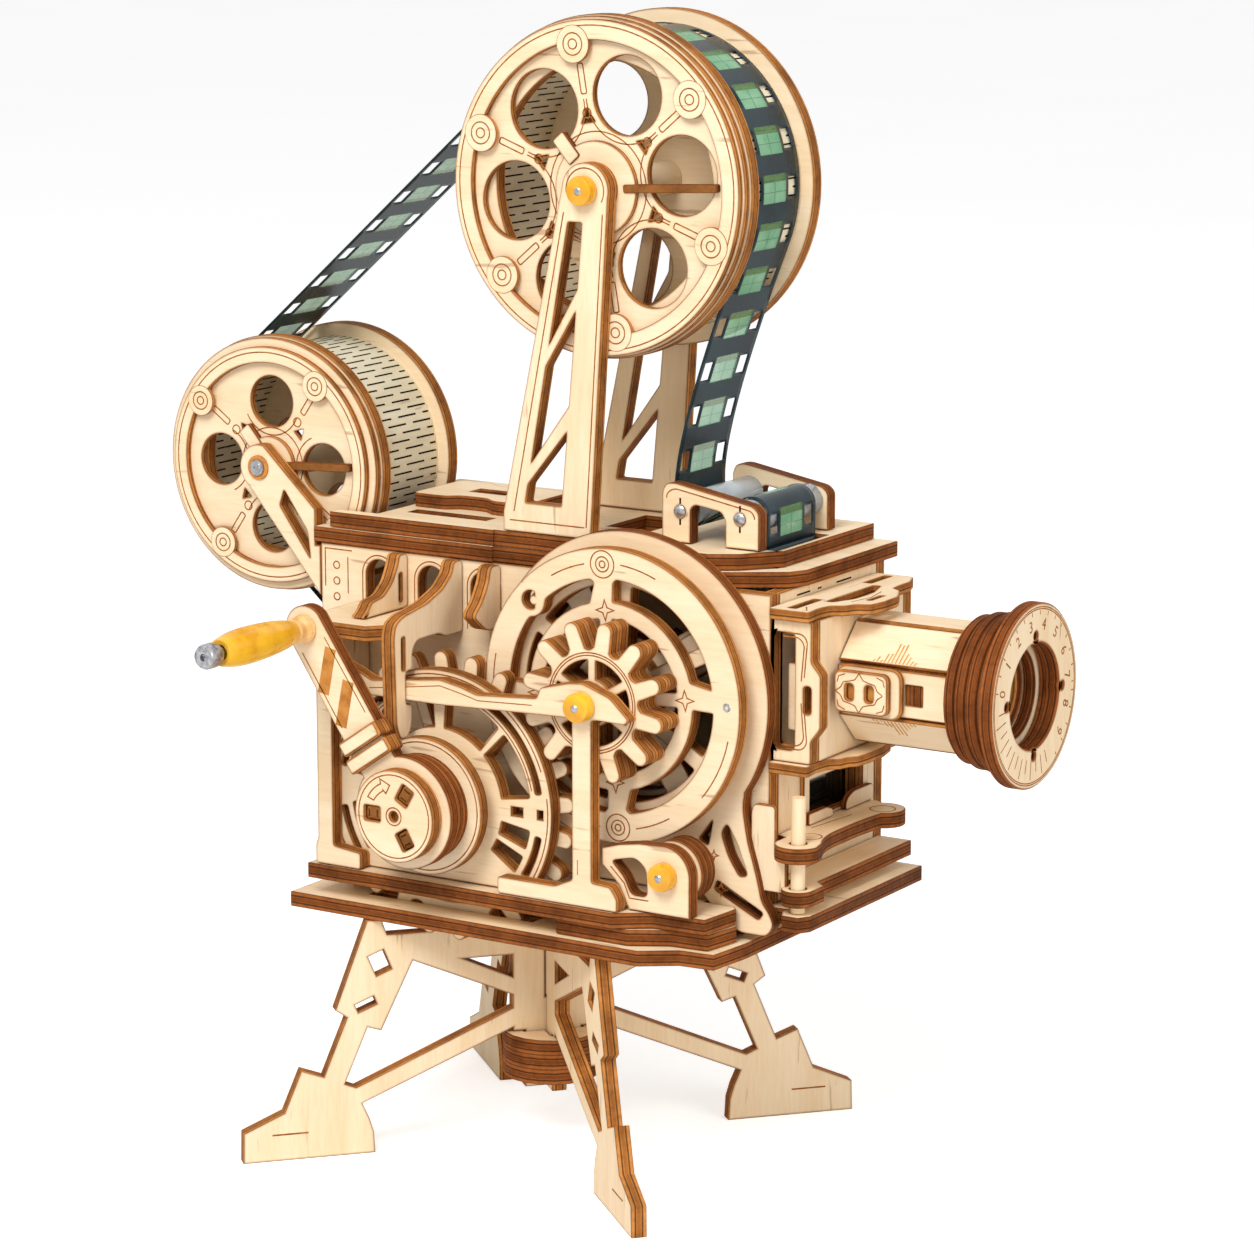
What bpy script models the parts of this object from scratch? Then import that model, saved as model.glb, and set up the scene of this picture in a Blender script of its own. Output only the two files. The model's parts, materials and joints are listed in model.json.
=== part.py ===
"""A hand-cranked toy film projector cut from plywood sheets, on a four-legged stand.

Sizes are in millimetres in this file and become metres where a mesh is made.
X points where the lens looks, -Y to the crank side, +Z up. The stand's axis is x = 0, y = 0
while the pieces are laid out, and one parent empty then centres the whole on the floor.
"""
import math

import bmesh
import bpy

MM = 0.001

# Stock and clearances
SHEET = 4.2
GAP = 0.3
PITCH = SHEET + GAP
SHAFT_R = 2.5
BORE_R = SHAFT_R + GAP

# Stand
LEG_TURN = 48.0
LEG_REACH = 87.0
LEG_TAB = 8.0
COLLAR_R = 13.5
COLLAR_Z = 18.4
COLLAR_LAYERS = 3
COLLAR_TOP = COLLAR_Z + COLLAR_LAYERS * SHEET
TAB_Z = COLLAR_Z - 3.4
DECK_Z = 66.0
DECK_NEAR = -39.7
DECK_FAR = 49.7
DECK_LEFT = -59.0

# Body
BODY_LEFT = -67.0
BODY_RIGHT = 76.0
BODY_NEAR = -12.5
BODY_FAR = 48.5
DECK_TOP = DECK_Z + 2 * PITCH + SHEET
WALL_Z = DECK_TOP + GAP
WALL_TOP = 162.0
ROOF_Z = WALL_TOP + GAP
ROOF_TOP = ROOF_Z + PITCH + SHEET
ROOF_LEFT = -68.7
BODY_MID = (BODY_NEAR + BODY_FAR) / 2
SHAFT_BACK = BODY_FAR + 3.0

# Crank and gears
CRANK = (-12.4, 101.0)
FLYWHEEL = (35.6, 133.2)
DRIVE_TEETH = 24
PINION_TEETH = 12
FINGER = 4.4
TOOTH_TALL = 6.6
DRIVE_TIP_R = 39.6
PINION_TIP_R = 21.7
FLYWHEEL_R = 39.3
FLYWHEEL_TO_CRANK = math.dist(CRANK, FLYWHEEL)
GUARD_HUB_R = 23.2
BACKING_R = 42.5
CRANK_SHELF_Z = 142.6
HANDLE = (-43.8, 147.2)
HANDLE_END = -96.0
GRIP_LONG = 31.0
GRIP_R = 4.9
CAP_WINDOWS = (60.0, 180.0, 300.0)
PIN_R = 1.6

# Layers on the crank side, front faces
BACKING_Y = BODY_NEAR - PITCH
SPOKES_Y = BACKING_Y - PITCH
RIM_Y = SPOKES_Y - PITCH
GEAR_Y = RIM_Y - PITCH
RING_Y = GEAR_Y - PITCH
FRAME_Y = RING_Y - PITCH
ARM_Y = -52.0
CAP_Y = ARM_Y - PITCH

# Reels
TOP_REEL = (19.4, ROOF_TOP + 92.3)
TOP_REEL_R = 44.5
TOP_DRUM_R = 40.6
REAR_REEL = (BODY_LEFT - 21.0, WALL_TOP + 19.0)
REAR_REEL_R = 35.5
REAR_DRUM_R = 32.0
DRUM_WALL = 2.6
REEL_NEAR = -8.0
DRUM_LONG = 28.1
REEL_FAR = REEL_NEAR + 2 * SHEET + DRUM_LONG
REEL_RIM = 6.0
STICK = 2.4
BAY_NEAR = REEL_NEAR - 2 * GAP
BAY_FAR = REEL_FAR + SHEET + 2.0
ARM_NEAR = REEL_NEAR - PITCH
ARM_FAR = REEL_FAR + SHEET + GAP

# Film
FILM_NEAR = 1.9
FILM_FAR = 27.5
FILM_THICK = 0.5
ROLLER_R = 4.4
ROLLER_LEFT = (43.1, ROOF_TOP + 8.6)
ROLLER_RIGHT = (61.3, ROOF_TOP + 8.2)
SPROCKET_R = 12.0
GATE_X = 67.4

# Lens
LENS = (BODY_MID, 137.0)
BARREL_APOTHEM = 16.5
BARREL_WALL = 3.0
BARREL_X = 88.3
BARREL_END = 120.0
HOOD_END = 137.0
DIAL_R = 24.5
LENS_BOX_LOW = 115.0
LENS_BOX_HIGH = 154.7
SHELF_Z = 93.7
POST = (85.6, -14.0)
POST_R = 1.9
POST_TOP = LENS_BOX_LOW - PITCH - GAP
IDLER = (58.0, 90.0)
IDLER_R = 8.5

BIRCH = (0.80, 0.61, 0.40)
BIRCH_DARK = (0.62, 0.42, 0.24)
YELLOW = (0.90, 0.55, 0.03)
STEEL = (0.62, 0.62, 0.62)
FILM_COLOUR = (0.02, 0.06, 0.06)
GLASS_COLOUR = (0.01, 0.02, 0.015)
CLEAR = (0.75, 0.80, 0.80)


def circle(radius, centre=(0.0, 0.0), steps=None):
    """A round loop; small holes get fewer corners than big rims."""
    count = steps or max(8, min(36, 4 * round(1.0 + radius ** 0.5 * 1.2)))
    return [polar(radius, 360.0 * k / count, centre) for k in range(count)]


def polar(radius, degrees, centre=(0.0, 0.0)):
    angle = math.radians(degrees)
    return (centre[0] + radius * math.cos(angle), centre[1] + radius * math.sin(angle))


def arc(radius, start, end, centre=(0.0, 0.0), steps=8):
    """Points along part of a circle, both ends included."""
    return [polar(radius, start + (end - start) * k / steps, centre) for k in range(steps + 1)]


def sector(inner, outer, start, end, steps=5):
    """A window between two radii and two angles."""
    return arc(inner, start, end, steps=steps) + arc(outer, end, start, steps=steps)


def spoke_windows(inner, outer, spokes, bar, first=0.0, steps=5):
    """The openings left between straight-sided spokes of a given bar width."""
    windows = []
    for k in range(spokes):
        start = first + 360.0 * k / spokes
        end = start + 360.0 / spokes
        low = math.degrees(math.asin(bar / 2 / inner))
        high = math.degrees(math.asin(bar / 2 / outer))
        windows.append(arc(inner, start + low, end - low, steps=steps)
                       + arc(outer, end - high, start + high, steps=steps))
    return windows


def ring_of_holes(radius, distance, count, first=0.0, steps=12):
    return [circle(radius, polar(distance, first + 360.0 * k / count), steps) for k in range(count)]


def turned(points, degrees, centre=(0.0, 0.0)):
    angle = math.radians(degrees)
    c = math.cos(angle)
    s = math.sin(angle)
    return [(centre[0] + x * c - y * s, centre[1] + x * s + y * c) for x, y in points]


def mirrored(points, about=0.0):
    """The same loop on the other side of the line where the first coordinate is `about`."""
    return [(2 * about - x, y) for x, y in reversed(points)]


def both_halves(right):
    """A whole outline from its right half, which runs from the top centre to the bottom centre."""
    return right + [(-x, y) for x, y in reversed(right)]


def slot(wide, tall, centre=(0.0, 0.0), tilt=0.0):
    corners = [(-wide / 2, -tall / 2), (wide / 2, -tall / 2), (wide / 2, tall / 2), (-wide / 2, tall / 2)]
    return turned(corners, tilt, centre)


def bend(start, aim, end, steps):
    """A curve that leaves the start towards the aim and comes in to the end from it."""
    loop = []
    for k in range(steps + 1):
        t = k / steps
        loop.append(tuple((1 - t) ** 2 * start[i] + 2 * t * (1 - t) * aim[i] + t * t * end[i]
                          for i in (0, 1)))
    return loop


def rounded(points, radius, steps=3):
    """The same loop with each corner cut by a short curve that touches both of its sides."""
    loop = []
    count = len(points)
    for k in range(count):
        before = points[k - 1]
        here = points[k]
        after = points[(k + 1) % count]
        back = math.dist(before, here)
        ahead = math.dist(here, after)
        reach = min(radius, back / 2.2, ahead / 2.2)
        start = [here[i] + (before[i] - here[i]) * reach / back for i in (0, 1)]
        end = [here[i] + (after[i] - here[i]) * reach / ahead for i in (0, 1)]
        loop += bend(start, here, end, steps)
    return loop


def gear_outline(teeth, tip, tall, finger, first=0.0):
    """Finger teeth: parallel sides and a half-round tip, with a rounded valley between two teeth."""
    root = tip - tall
    half = finger / 2
    loop = []
    for k in range(teeth):
        angle = first + 360.0 * k / teeth
        side = math.sqrt(root ** 2 - half ** 2)
        tooth = [(side, -half)] + arc(half, -80, 80, centre=(tip - half, 0.0), steps=3) + [(side, half)]
        loop += turned(tooth, angle)
    return loop


def material(name, colour, roughness=0.6, metallic=0.0):
    """One finish, made once and shared by every piece of it."""
    if name in bpy.data.materials:
        return bpy.data.materials[name]
    made = bpy.data.materials.new(name)
    made.use_nodes = True
    shader = made.node_tree.nodes["Principled BSDF"]
    shader.inputs["Base Color"].default_value = (*colour, 1.0)
    shader.inputs["Roughness"].default_value = roughness
    shader.inputs["Metallic"].default_value = metallic
    return made


def birch():
    return material("birch_plywood", BIRCH, 0.55)


def dark_birch():
    return material("scorched_plywood", BIRCH_DARK, 0.6)


def yellow():
    return material("yellow_plastic", YELLOW, 0.35)


def steel():
    return material("steel", STEEL, 0.3, 1.0)


def film():
    return material("film_plastic", FILM_COLOUR, 0.25)


def dark_glass():
    return material("dark_glass", GLASS_COLOUR, 0.08)


def clear_plastic():
    return material("clear_plastic", CLEAR, 0.15)


def sheet_mesh(name, outline, holes, thickness):
    """A plate with holes, its middle plane on z = 0 of its own frame."""
    shape = bmesh.new()
    edges = []
    for loop in [outline, *holes]:
        corners = [shape.verts.new((x * MM, y * MM, -thickness / 2 * MM)) for x, y in loop]
        edges += [shape.edges.new(pair) for pair in zip(corners, corners[1:] + corners[:1])]
    bmesh.ops.triangle_fill(shape, edges=edges, use_beauty=True, use_dissolve=False, normal=(0, 0, 1))
    lifted = bmesh.ops.extrude_face_region(shape, geom=shape.faces[:])["geom"]
    corners = [item for item in lifted if isinstance(item, bmesh.types.BMVert)]
    bmesh.ops.translate(shape, verts=corners, vec=(0, 0, thickness * MM))
    bmesh.ops.recalc_face_normals(shape, faces=shape.faces[:])
    mesh = bpy.data.meshes.new(name)
    shape.to_mesh(mesh)
    shape.free()
    return mesh


def turned_mesh(name, profile, steps):
    """A closed profile of (radius, along) pairs carried once round its own z axis."""
    shape = bmesh.new()
    corners = [shape.verts.new((radius * MM, 0, along * MM)) for radius, along in profile]
    edges = [shape.edges.new(pair) for pair in zip(corners, corners[1:] + corners[:1])]
    bmesh.ops.spin(shape, geom=corners + edges, cent=(0, 0, 0), axis=(0, 0, 1), angle=math.tau,
                   steps=steps, use_merge=True)
    bmesh.ops.remove_doubles(shape, verts=shape.verts[:], dist=0.00001)
    bmesh.ops.recalc_face_normals(shape, faces=shape.faces[:])
    mesh = bpy.data.meshes.new(name)
    shape.to_mesh(mesh)
    shape.free()
    mesh.shade_smooth()
    mesh.set_sharp_from_angle(angle=math.radians(35))
    return mesh


def put(name, mesh, finish, place, upright, turn):
    """Stand a mesh in its place, upright sheets facing -Y before they are turned about z."""
    item = bpy.data.objects.new(name, mesh)
    mesh.materials.append(finish)
    bpy.context.collection.objects.link(item)
    item.location = [value * MM for value in place]
    item.rotation_euler = (math.radians(90) if upright else 0.0, 0.0, math.radians(turn))
    item.parent = bpy.data.objects["projector"]
    return item


def flat_sheet(name, low, outline, holes=(), thickness=SHEET, finish=None):
    """A sheet that lies flat, its underside at height `low`; outline in x, y."""
    mesh = sheet_mesh(name, outline, holes, thickness)
    return put(name, mesh, finish or birch(), (0, 0, low + thickness / 2), False, 0)


def front_sheet(name, front, outline, holes=(), centre=(0, 0), thickness=SHEET, finish=None):
    """An upright sheet seen from the crank side, its near face at y = front; outline in x, z."""
    mesh = sheet_mesh(name, outline, holes, thickness)
    return put(name, mesh, finish or birch(), (centre[0], front + thickness / 2, centre[1]), True, 0)


def side_sheet(name, left, outline, holes=(), centre=(0, 0), thickness=SHEET, finish=None):
    """An upright sheet seen from the lens side, its left face at x = left; outline in y, z."""
    mesh = sheet_mesh(name, outline, holes, thickness)
    return put(name, mesh, finish or birch(), (left + thickness / 2, centre[0], centre[1]), True, 90)


def turned_on_y(name, profile, centre, steps=24, finish=None):
    """A turned piece on an axis along y; profile in radius, y."""
    mesh = turned_mesh(name, [(radius, -y) for radius, y in profile], steps)
    return put(name, mesh, finish or birch(), (centre[0], 0, centre[1]), True, 0)


def turned_on_x(name, profile, centre, steps=24, finish=None):
    """A turned piece on an axis along x; profile in radius, x."""
    mesh = turned_mesh(name, profile, steps)
    return put(name, mesh, finish or birch(), (0, centre[0], centre[1]), True, 90)


def join(base, *others, cut=False):
    """Glue layers that belong to one piece into one closed body, or cut a shape out of it."""
    for other in others:
        tool = base.modifiers.new("layer", "BOOLEAN")
        tool.operation = "DIFFERENCE" if cut else "UNION"
        tool.object = other
        bpy.context.view_layer.update()
        graph = bpy.context.evaluated_depsgraph_get()
        solid = bpy.data.meshes.new_from_object(base.evaluated_get(graph))
        base.modifiers.clear()
        base.data = solid
        bpy.data.objects.remove(other)
    return base


def leg_half():
    """Right half of a leg frame from the deck down to the tab: r outward, z up.

    The step in its top edge leaves room for the drive gear.
    """
    web = 11.4
    top = DECK_Z - GAP
    relief = CRANK[1] - DRIVE_TIP_R
    return [(32.0, top), (34.0, relief), (46.5, relief), (48.0, top), (52.0, top), (61.1, 41.2),
            (57.9, 38.9), (64.5, 22.7), (70.7, 25.0), (75.5, 13.4), (LEG_REACH - 0.2, 8.5),
            (LEG_REACH, 0.0), (50.5, 0.0), (50.8, 6.0), (52.0, 10.0), (53.9, 14.3), (web, 32.3),
            (web, COLLAR_TOP + GAP), (LEG_TAB, COLLAR_TOP + GAP), (LEG_TAB, TAB_Z)]


def leg_windows():
    right = [[(55.6, 18.9), (58.7, 20.2), (52.2, 35.7), (48.4, 34.5), (39.4, 53.5), (11.5, 41.6),
              (11.5, 37.9)],
             [(25.2, 52.9), (11.5, 46.7), (11.5, 53.0)],
             slot(5.6, 2.4, (52.6, 42.2), -22),
             slot(4.6, 6.0, (48.6, 53.6), -22)]
    return right + [mirrored(loop) for loop in right]


def make_legs():
    """Two whole frames, each with two legs, halved into each other on the stand's axis."""
    half_slot = SHEET / 2 + GAP
    top = DECK_Z - GAP
    low = TAB_Z
    middle = (top + low) / 2
    outer = both_halves(leg_half())
    from_top = [(half_slot, top)] + outer + [(-half_slot, top), (-half_slot, middle), (half_slot, middle)]
    right = leg_half()
    left = [(-x, z) for x, z in reversed(right)]
    notch = [(half_slot, low), (half_slot, middle + GAP), (-half_slot, middle + GAP), (-half_slot, low)]
    from_below = right + notch + left
    frames = {"leg_frame_front": (from_top, LEG_TURN), "leg_frame_side": (from_below, LEG_TURN - 90)}
    for name, (outline, turn) in frames.items():
        mesh = sheet_mesh(name, outline, leg_windows(), SHEET)
        put(name, mesh, birch(), (0, 0, 0), True, turn)
    arm = LEG_TAB + GAP
    cross = [(arm, -half_slot), (arm, half_slot), (half_slot, half_slot), (half_slot, arm),
             (-half_slot, arm), (-half_slot, half_slot), (-arm, half_slot), (-arm, -half_slot),
             (-half_slot, -half_slot), (-half_slot, -arm), (half_slot, -arm), (half_slot, -half_slot)]
    flat_sheet("stand_collar", COLLAR_Z, circle(COLLAR_R), [turned(cross, LEG_TURN)],
               thickness=COLLAR_LAYERS * SHEET)


def deck_edge(near, step, reach, shoulder):
    """Near edge, its two chamfers and the near right corner of a deck sheet."""
    return [(near, DECK_NEAR), (near + 9.0, -33.4), (step, -32.5), (reach, shoulder)]


def gear_slot(height):
    """The opening that lets the drive gear dip through a deck sheet whose top is at `height`."""
    half = math.sqrt((DRIVE_TIP_R + 1.0) ** 2 - (CRANK[1] - height) ** 2)
    near = GEAR_Y - GAP
    far = GEAR_Y + SHEET + GAP
    left = CRANK[0] - half
    right = CRANK[0] + half
    return [(left, near), (right, near), (right, far), (left, far)]


def make_deck():
    """Three stacked sheets; the top one also carries the body and reaches out under the lens."""
    mirror_y = DECK_NEAR + DECK_FAR
    edge = deck_edge(52.4, 71.3, 72.8, -18.5)
    far = [(x, mirror_y - y) for x, y in reversed(edge)]
    skirt_near = BACKING_Y - GAP
    lower = [(DECK_LEFT, DECK_NEAR)] + edge + far + [(DECK_LEFT, DECK_FAR)]
    flat_sheet("deck_lower_sheet", DECK_Z, lower, [gear_slot(DECK_Z + SHEET)])
    middle = [(DECK_LEFT + 10, -25.4), (25.0, -25.4), (26.0, -37.5), (48.0, -37.5), (58.0, -31.8),
              (68.5, -31.0), (70.4, -19.5), (68.2, skirt_near), (59.5, skirt_near), (59.5, BODY_NEAR + GAP),
              (68.2, BODY_NEAR + GAP), (68.2, 43.0), (DECK_LEFT + 10, 43.0)]
    flat_sheet("deck_middle_sheet", DECK_Z + PITCH, middle)
    lug = POST[1] - 4.2
    top = [(DECK_LEFT + 6, DECK_NEAR)] + deck_edge(44.4, 68.6, 70.0, -19.0)
    top += [(68.6, skirt_near), (59.5, skirt_near), (59.5, BODY_NEAR + GAP), (81.4, BODY_NEAR + GAP),
            (81.4, POST[1] - 1), (83.2, lug), (88.0, lug), (90.0, POST[1] - 1), (90.0, 46.0), (68.6, 46.0),
            (68.6, DECK_FAR),
            (DECK_LEFT + 6, DECK_FAR)]
    flat_sheet("deck_top_sheet", DECK_Z + 2 * PITCH, top, [gear_slot(DECK_TOP)])


def arch(centre, wide, low, high):
    """A window with a round head."""
    radius = wide / 2
    head = arc(radius, 0, 180, centre=(centre, high - radius), steps=8)
    return [(centre + radius, low)] + head + [(centre - radius, low)]


def make_walls():
    """Four walls of the case; the two long ones carry both shafts."""
    outline = [(BODY_LEFT, WALL_Z), (BODY_RIGHT, WALL_Z), (BODY_RIGHT, WALL_TOP), (BODY_LEFT, WALL_TOP)]
    arches = [arch(x, 8.5, WALL_TOP - 18.0, WALL_TOP - 3.0) for x in (-47.6, -30.3, -13.0)]
    bores = [circle(BORE_R, CRANK), circle(BORE_R, FLYWHEEL)]
    front_sheet("near_wall", BODY_NEAR, outline, arches + bores)
    front_sheet("far_wall", BODY_FAR - SHEET, outline, arches + bores)
    near = BODY_NEAR + PITCH
    far = BODY_FAR - PITCH
    panel = [(near, WALL_Z), (far, WALL_Z), (far, WALL_TOP), (near, WALL_TOP)]
    window = [(0.0, 98.3), (30.4, 98.3), (30.4, 110.0), (0.0, 110.0)]
    slot_low = WALL_TOP - 26.0
    slot_high = WALL_TOP - 18.0
    film_slot = [(FILM_NEAR - 1.5, slot_low), (FILM_FAR + 1.5, slot_low), (FILM_FAR + 1.5, slot_high),
                 (FILM_NEAR - 1.5, slot_high)]
    side_sheet("front_wall", BODY_RIGHT - SHEET, panel, [window, circle(13.0, LENS, 24)])
    reel_low = REAR_REEL[1] - REAR_REEL_R + 5.0
    notched = [(near, WALL_Z), (far, WALL_Z), (far, WALL_TOP), (BAY_FAR, WALL_TOP), (BAY_FAR, reel_low),
               (near, reel_low)]
    side_sheet("rear_wall", BODY_LEFT, notched, [film_slot])


def make_roof():
    """Two roof sheets with the film's slot, and the stepped ornament glued behind the top reel."""
    slot_near = FILM_NEAR - 1.2
    slot_far = FILM_FAR + 1.2
    film_slot = [(GATE_X - 3.0, slot_near), (GATE_X + 2.6, slot_near), (GATE_X + 2.6, slot_far),
                 (GATE_X - 3.0, slot_far)]
    reel_right = REAR_REEL[0] + REAR_REEL_R + 2.0
    lower = [(ROOF_LEFT, -13.4), (-9.8, -13.4), (-9.8, -12.2), (60.0, -12.2), (66.5, -8.0), (75.5, -2.0),
             (78.0, 3.0), (78.0, 52.0), (ROOF_LEFT, 52.0), (ROOF_LEFT, BAY_FAR), (reel_right, BAY_FAR),
             (reel_right, BAY_NEAR), (ROOF_LEFT, BAY_NEAR)]
    upper = [(-63.6, -12.8), (-9.8, -12.8), (-9.8, -12.2), (57.0, -12.2), (63.9, -8.0), (71.5, 2.0),
             (71.5, 50.5), (-63.6, 50.5), (-63.6, BAY_FAR), (reel_right, BAY_FAR),
             (reel_right, BAY_NEAR), (-63.6, BAY_NEAR)]
    vents = [slot(26.0, 5.0, (-32.0, 0.0)), slot(26.0, 5.0, (-32.0, 36.0)), slot(14.0, 20.0, (20.0, 18.0))]
    flat_sheet("roof_lower_sheet", ROOF_Z, lower, [film_slot])
    roof = flat_sheet("roof_upper_sheet", ROOF_Z + PITCH, upper, vents + [film_slot])
    crest = [(-49.0, 6.0), (-38.0, 6.0), (-35.0, 9.0), (-26.0, 9.0), (-23.0, 6.0), (-12.0, 6.0),
             (-12.0, 30.0), (-23.0, 30.0), (-26.0, 27.0), (-35.0, 27.0), (-38.0, 30.0), (-49.0, 30.0)]
    heart = slot(12.0, 6.0, (-30.5, 18.0))
    join(roof, flat_sheet("roof_ornament", ROOF_TOP - GAP, rounded(crest, 2.0, 2), [heart]))


def make_backing_plate():
    """The still disc behind the flywheel, which runs down into the two-toed skirt by the lens."""
    disc = arc(BACKING_R, -28.0, 290.0, centre=FLYWHEEL, steps=32)
    skirt = [(54.0, 86.0), (62.0, 77.6), (69.3, 72.4), (78.2, 72.4), (80.2, 75.6), (78.8, 78.8),
             (76.5, 81.5), (75.0, 88.0), (72.2, 97.0), (70.6, 106.0)]
    holes = [circle(BORE_R, FLYWHEEL, 12), [(63.0, 85.2), (77.0, 78.4), (76.0, 77.0), (62.4, 83.2)],
             [(65.9, 100.3), (71.6, 87.6), (67.0, 92.0), (64.6, 98.0)],
             [(57.4, 96.0), (61.4, 100.6), (59.0, 94.4)]]
    front_sheet("backing_plate", BACKING_Y, disc + skirt, holes)


def make_front_frame():
    """One sheet: long foot, right post, the bar that steadies the shafts, and the left post."""
    outline = [(8.8, WALL_Z), (46.1, WALL_Z), (46.1, 83.0), (44.0, 86.0), (38.3, 86.4), (38.3, 129.0),
               (47.6, 128.4), (49.4, 130.2), (44.4, 137.4), (38.6, 138.4), (35.6, 140.2), (30.4, 139.0),
               (26.0, 137.2), (22.6, 137.0), (21.8, 134.0), (8.2, 132.6), (-10.0, 133.6), (-20.0, 135.4),
               (-34.0, 132.6), (-41.0, 134.4), (-45.0, 141.0), (-49.6, 142.0), (-49.6, 86.4),
               (-50.4, 84.8), (-50.4, WALL_Z), (-35.6, WALL_Z), (-35.6, 84.0), (-44.5, 85.0),
               (-44.5, 127.6), (-37.0, 127.4), (8.2, 128.4), (32.3, 128.8), (32.3, 86.4), (26.8, 84.0),
               (8.8, 84.0)]
    front_sheet("front_frame", FRAME_Y, outline, [circle(BORE_R, FLYWHEEL, 12)])


def make_crank_shelf():
    """The shelf over the drive gear, the cheek under it and the three curved brackets."""
    wall = BODY_NEAR - GAP
    shelf = [(-55.0, -33.0), (-51.0, DECK_NEAR), (-33.0, DECK_NEAR), (-24.3, -30.0), (-24.3, wall),
             (-55.0, wall)]
    flat_sheet("crank_shelf", CRANK_SHELF_Z, shelf)
    cheek_top = CRANK_SHELF_Z - GAP
    cheek = [(GEAR_Y + PITCH, WALL_Z), (wall, WALL_Z), (wall, cheek_top), (-25.8, cheek_top)]
    slots = [slot(3.0, 8.0, (-19.4, z)) for z in (92.0, 108.0, 124.0)]
    side_sheet("left_cheek", -55.0, cheek, slots)
    roof = WALL_TOP
    bracket = [(wall, CRANK_SHELF_Z + PITCH), (-34.0, CRANK_SHELF_Z + PITCH), (-30.0, roof - 13.0),
               (-24.0, roof - 10.5), (-19.4, roof - 6.5), (-17.0, roof - 2.0), (-16.6, roof), (wall, roof)]
    side_sheet("rear_bracket", -42.0, bracket)
    front = [(wall, roof - 18.0), (-20.0, roof - 17.0), (-25.6, roof - 12.5), (-21.6, roof - 9.0),
             (-18.4, roof - 4.0), (-17.6, roof), (wall, roof)]
    side_sheet("front_bracket", -11.6, front)
    bar_low = 127.0
    bar_high = 136.0
    door = [(wall, 142.2), (-21.0, 142.2), (-24.0, 143.6), (-34.6, 143.6), (-36.7, 141.0),
            (-36.7, bar_high), (FRAME_Y - GAP, bar_high), (FRAME_Y - GAP, bar_low), (-36.7, bar_low),
            (-37.2, 121.0), (-39.0, 118.0), (-42.4, 118.0), (-44.2, 122.0), (-45.0, 146.0),
            (-44.0, roof - 12.5), (-40.6, roof - 11.0), (-30.0, roof - 9.4), (-22.0, roof - 6.6),
            (-17.6, roof - 3.0), (-16.8, roof), (wall, roof)]
    side_sheet("door_bracket", -24.0, door)


def make_crank():
    """Shaft with its turned hub, the arm clamped in it, the handle, and the drive gear."""
    ring = RING_Y
    shaft = [(0.0, CAP_Y), (12.4, CAP_Y), (12.4, ARM_Y - GAP), (5.0, ARM_Y - GAP), (5.0, ARM_Y + PITCH),
             (14.5, ARM_Y + PITCH), (14.5, ARM_Y + PITCH + 1.5), (13.2, ARM_Y + PITCH + 2.0),
             (14.5, ARM_Y + PITCH + 2.5), (14.5, -43.2), (18.3, -43.0), (18.3, -39.8), (9.0, -39.6),
             (9.0, ring - GAP), (SHAFT_R, ring - GAP), (SHAFT_R, SHAFT_BACK), (0.0, SHAFT_BACK)]
    hub = turned_on_y("crank_shaft", shaft, CRANK, 20)
    for angle in CAP_WINDOWS:
        window = turned(slot(5.5, 4.2, (6.8, 0.0)), angle)
        join(hub, front_sheet("cap_window", CAP_Y - 1.0, window, (), CRANK), cut=True)
    reach = math.dist(CRANK, HANDLE)
    angle = math.degrees(math.atan2(HANDLE[1] - CRANK[1], HANDLE[0] - CRANK[0]))
    arm = arc(15.2, 22, 338, steps=22) + arc(6.2, -78, 78, centre=(reach, 0.0), steps=8)
    holes = [circle(5.0 + GAP, steps=16), circle(PIN_R + GAP, (reach, 0.0), 10)]
    front_sheet("crank_arm", ARM_Y, turned(arm, angle), [turned(hole, angle) for hole in holes], CRANK)
    grip_far = ARM_Y - 6.0
    grip_near = grip_far - GRIP_LONG
    pin = [(0.0, HANDLE_END), (3.4, HANDLE_END), (3.6, grip_near - 1.0), (PIN_R, grip_near - GAP),
           (PIN_R, grip_far + GAP), (3.2, grip_far + GAP), (3.0, ARM_Y - GAP), (PIN_R, ARM_Y - GAP),
           (PIN_R, ARM_Y + SHEET + GAP), (3.0, ARM_Y + SHEET + GAP), (2.6, ARM_Y + SHEET + 1.6),
           (0.0, ARM_Y + SHEET + 1.6)]
    turned_on_y("handle_pin", pin, HANDLE, 16, steel())
    swell = [(0.72, 0.0), (0.86, 0.08), (0.97, 0.25), (1.0, 0.45), (0.95, 0.68), (0.82, 0.86), (0.66, 1.0)]
    outside = [(GRIP_R * r, grip_near + GRIP_LONG * s) for r, s in swell]
    grip = [(PIN_R + 0.1 + GAP, grip_near)] + outside + [(PIN_R + 0.1 + GAP, grip_far)]
    turned_on_y("handle_grip", grip, HANDLE, 20, yellow())


def make_gears():
    """The big toothed sheet on the crank and the small double one on the flywheel."""
    to_pinion = math.degrees(math.atan2(FLYWHEEL[1] - CRANK[1], FLYWHEEL[0] - CRANK[0]))
    teeth = gear_outline(DRIVE_TEETH, DRIVE_TIP_R, TOOTH_TALL, FINGER, to_pinion)
    front_sheet("drive_gear", GEAR_Y, teeth, spoke_windows(12.0, 29.0, 6, 3.6, 50.0, 4)
                + [circle(BORE_R, steps=12)], CRANK)
    half = 180.0 / PINION_TEETH
    facing = to_pinion + 180.0 + half
    pinion = gear_outline(PINION_TEETH, PINION_TIP_R, TOOTH_TALL, FINGER, facing)
    front_sheet("pinion_gear", RING_Y, pinion, spoke_windows(6.4, 11.6, 6, 2.2, 30.0, 2)
                + [circle(BORE_R, steps=12)], FLYWHEEL, PITCH + SHEET)


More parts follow.
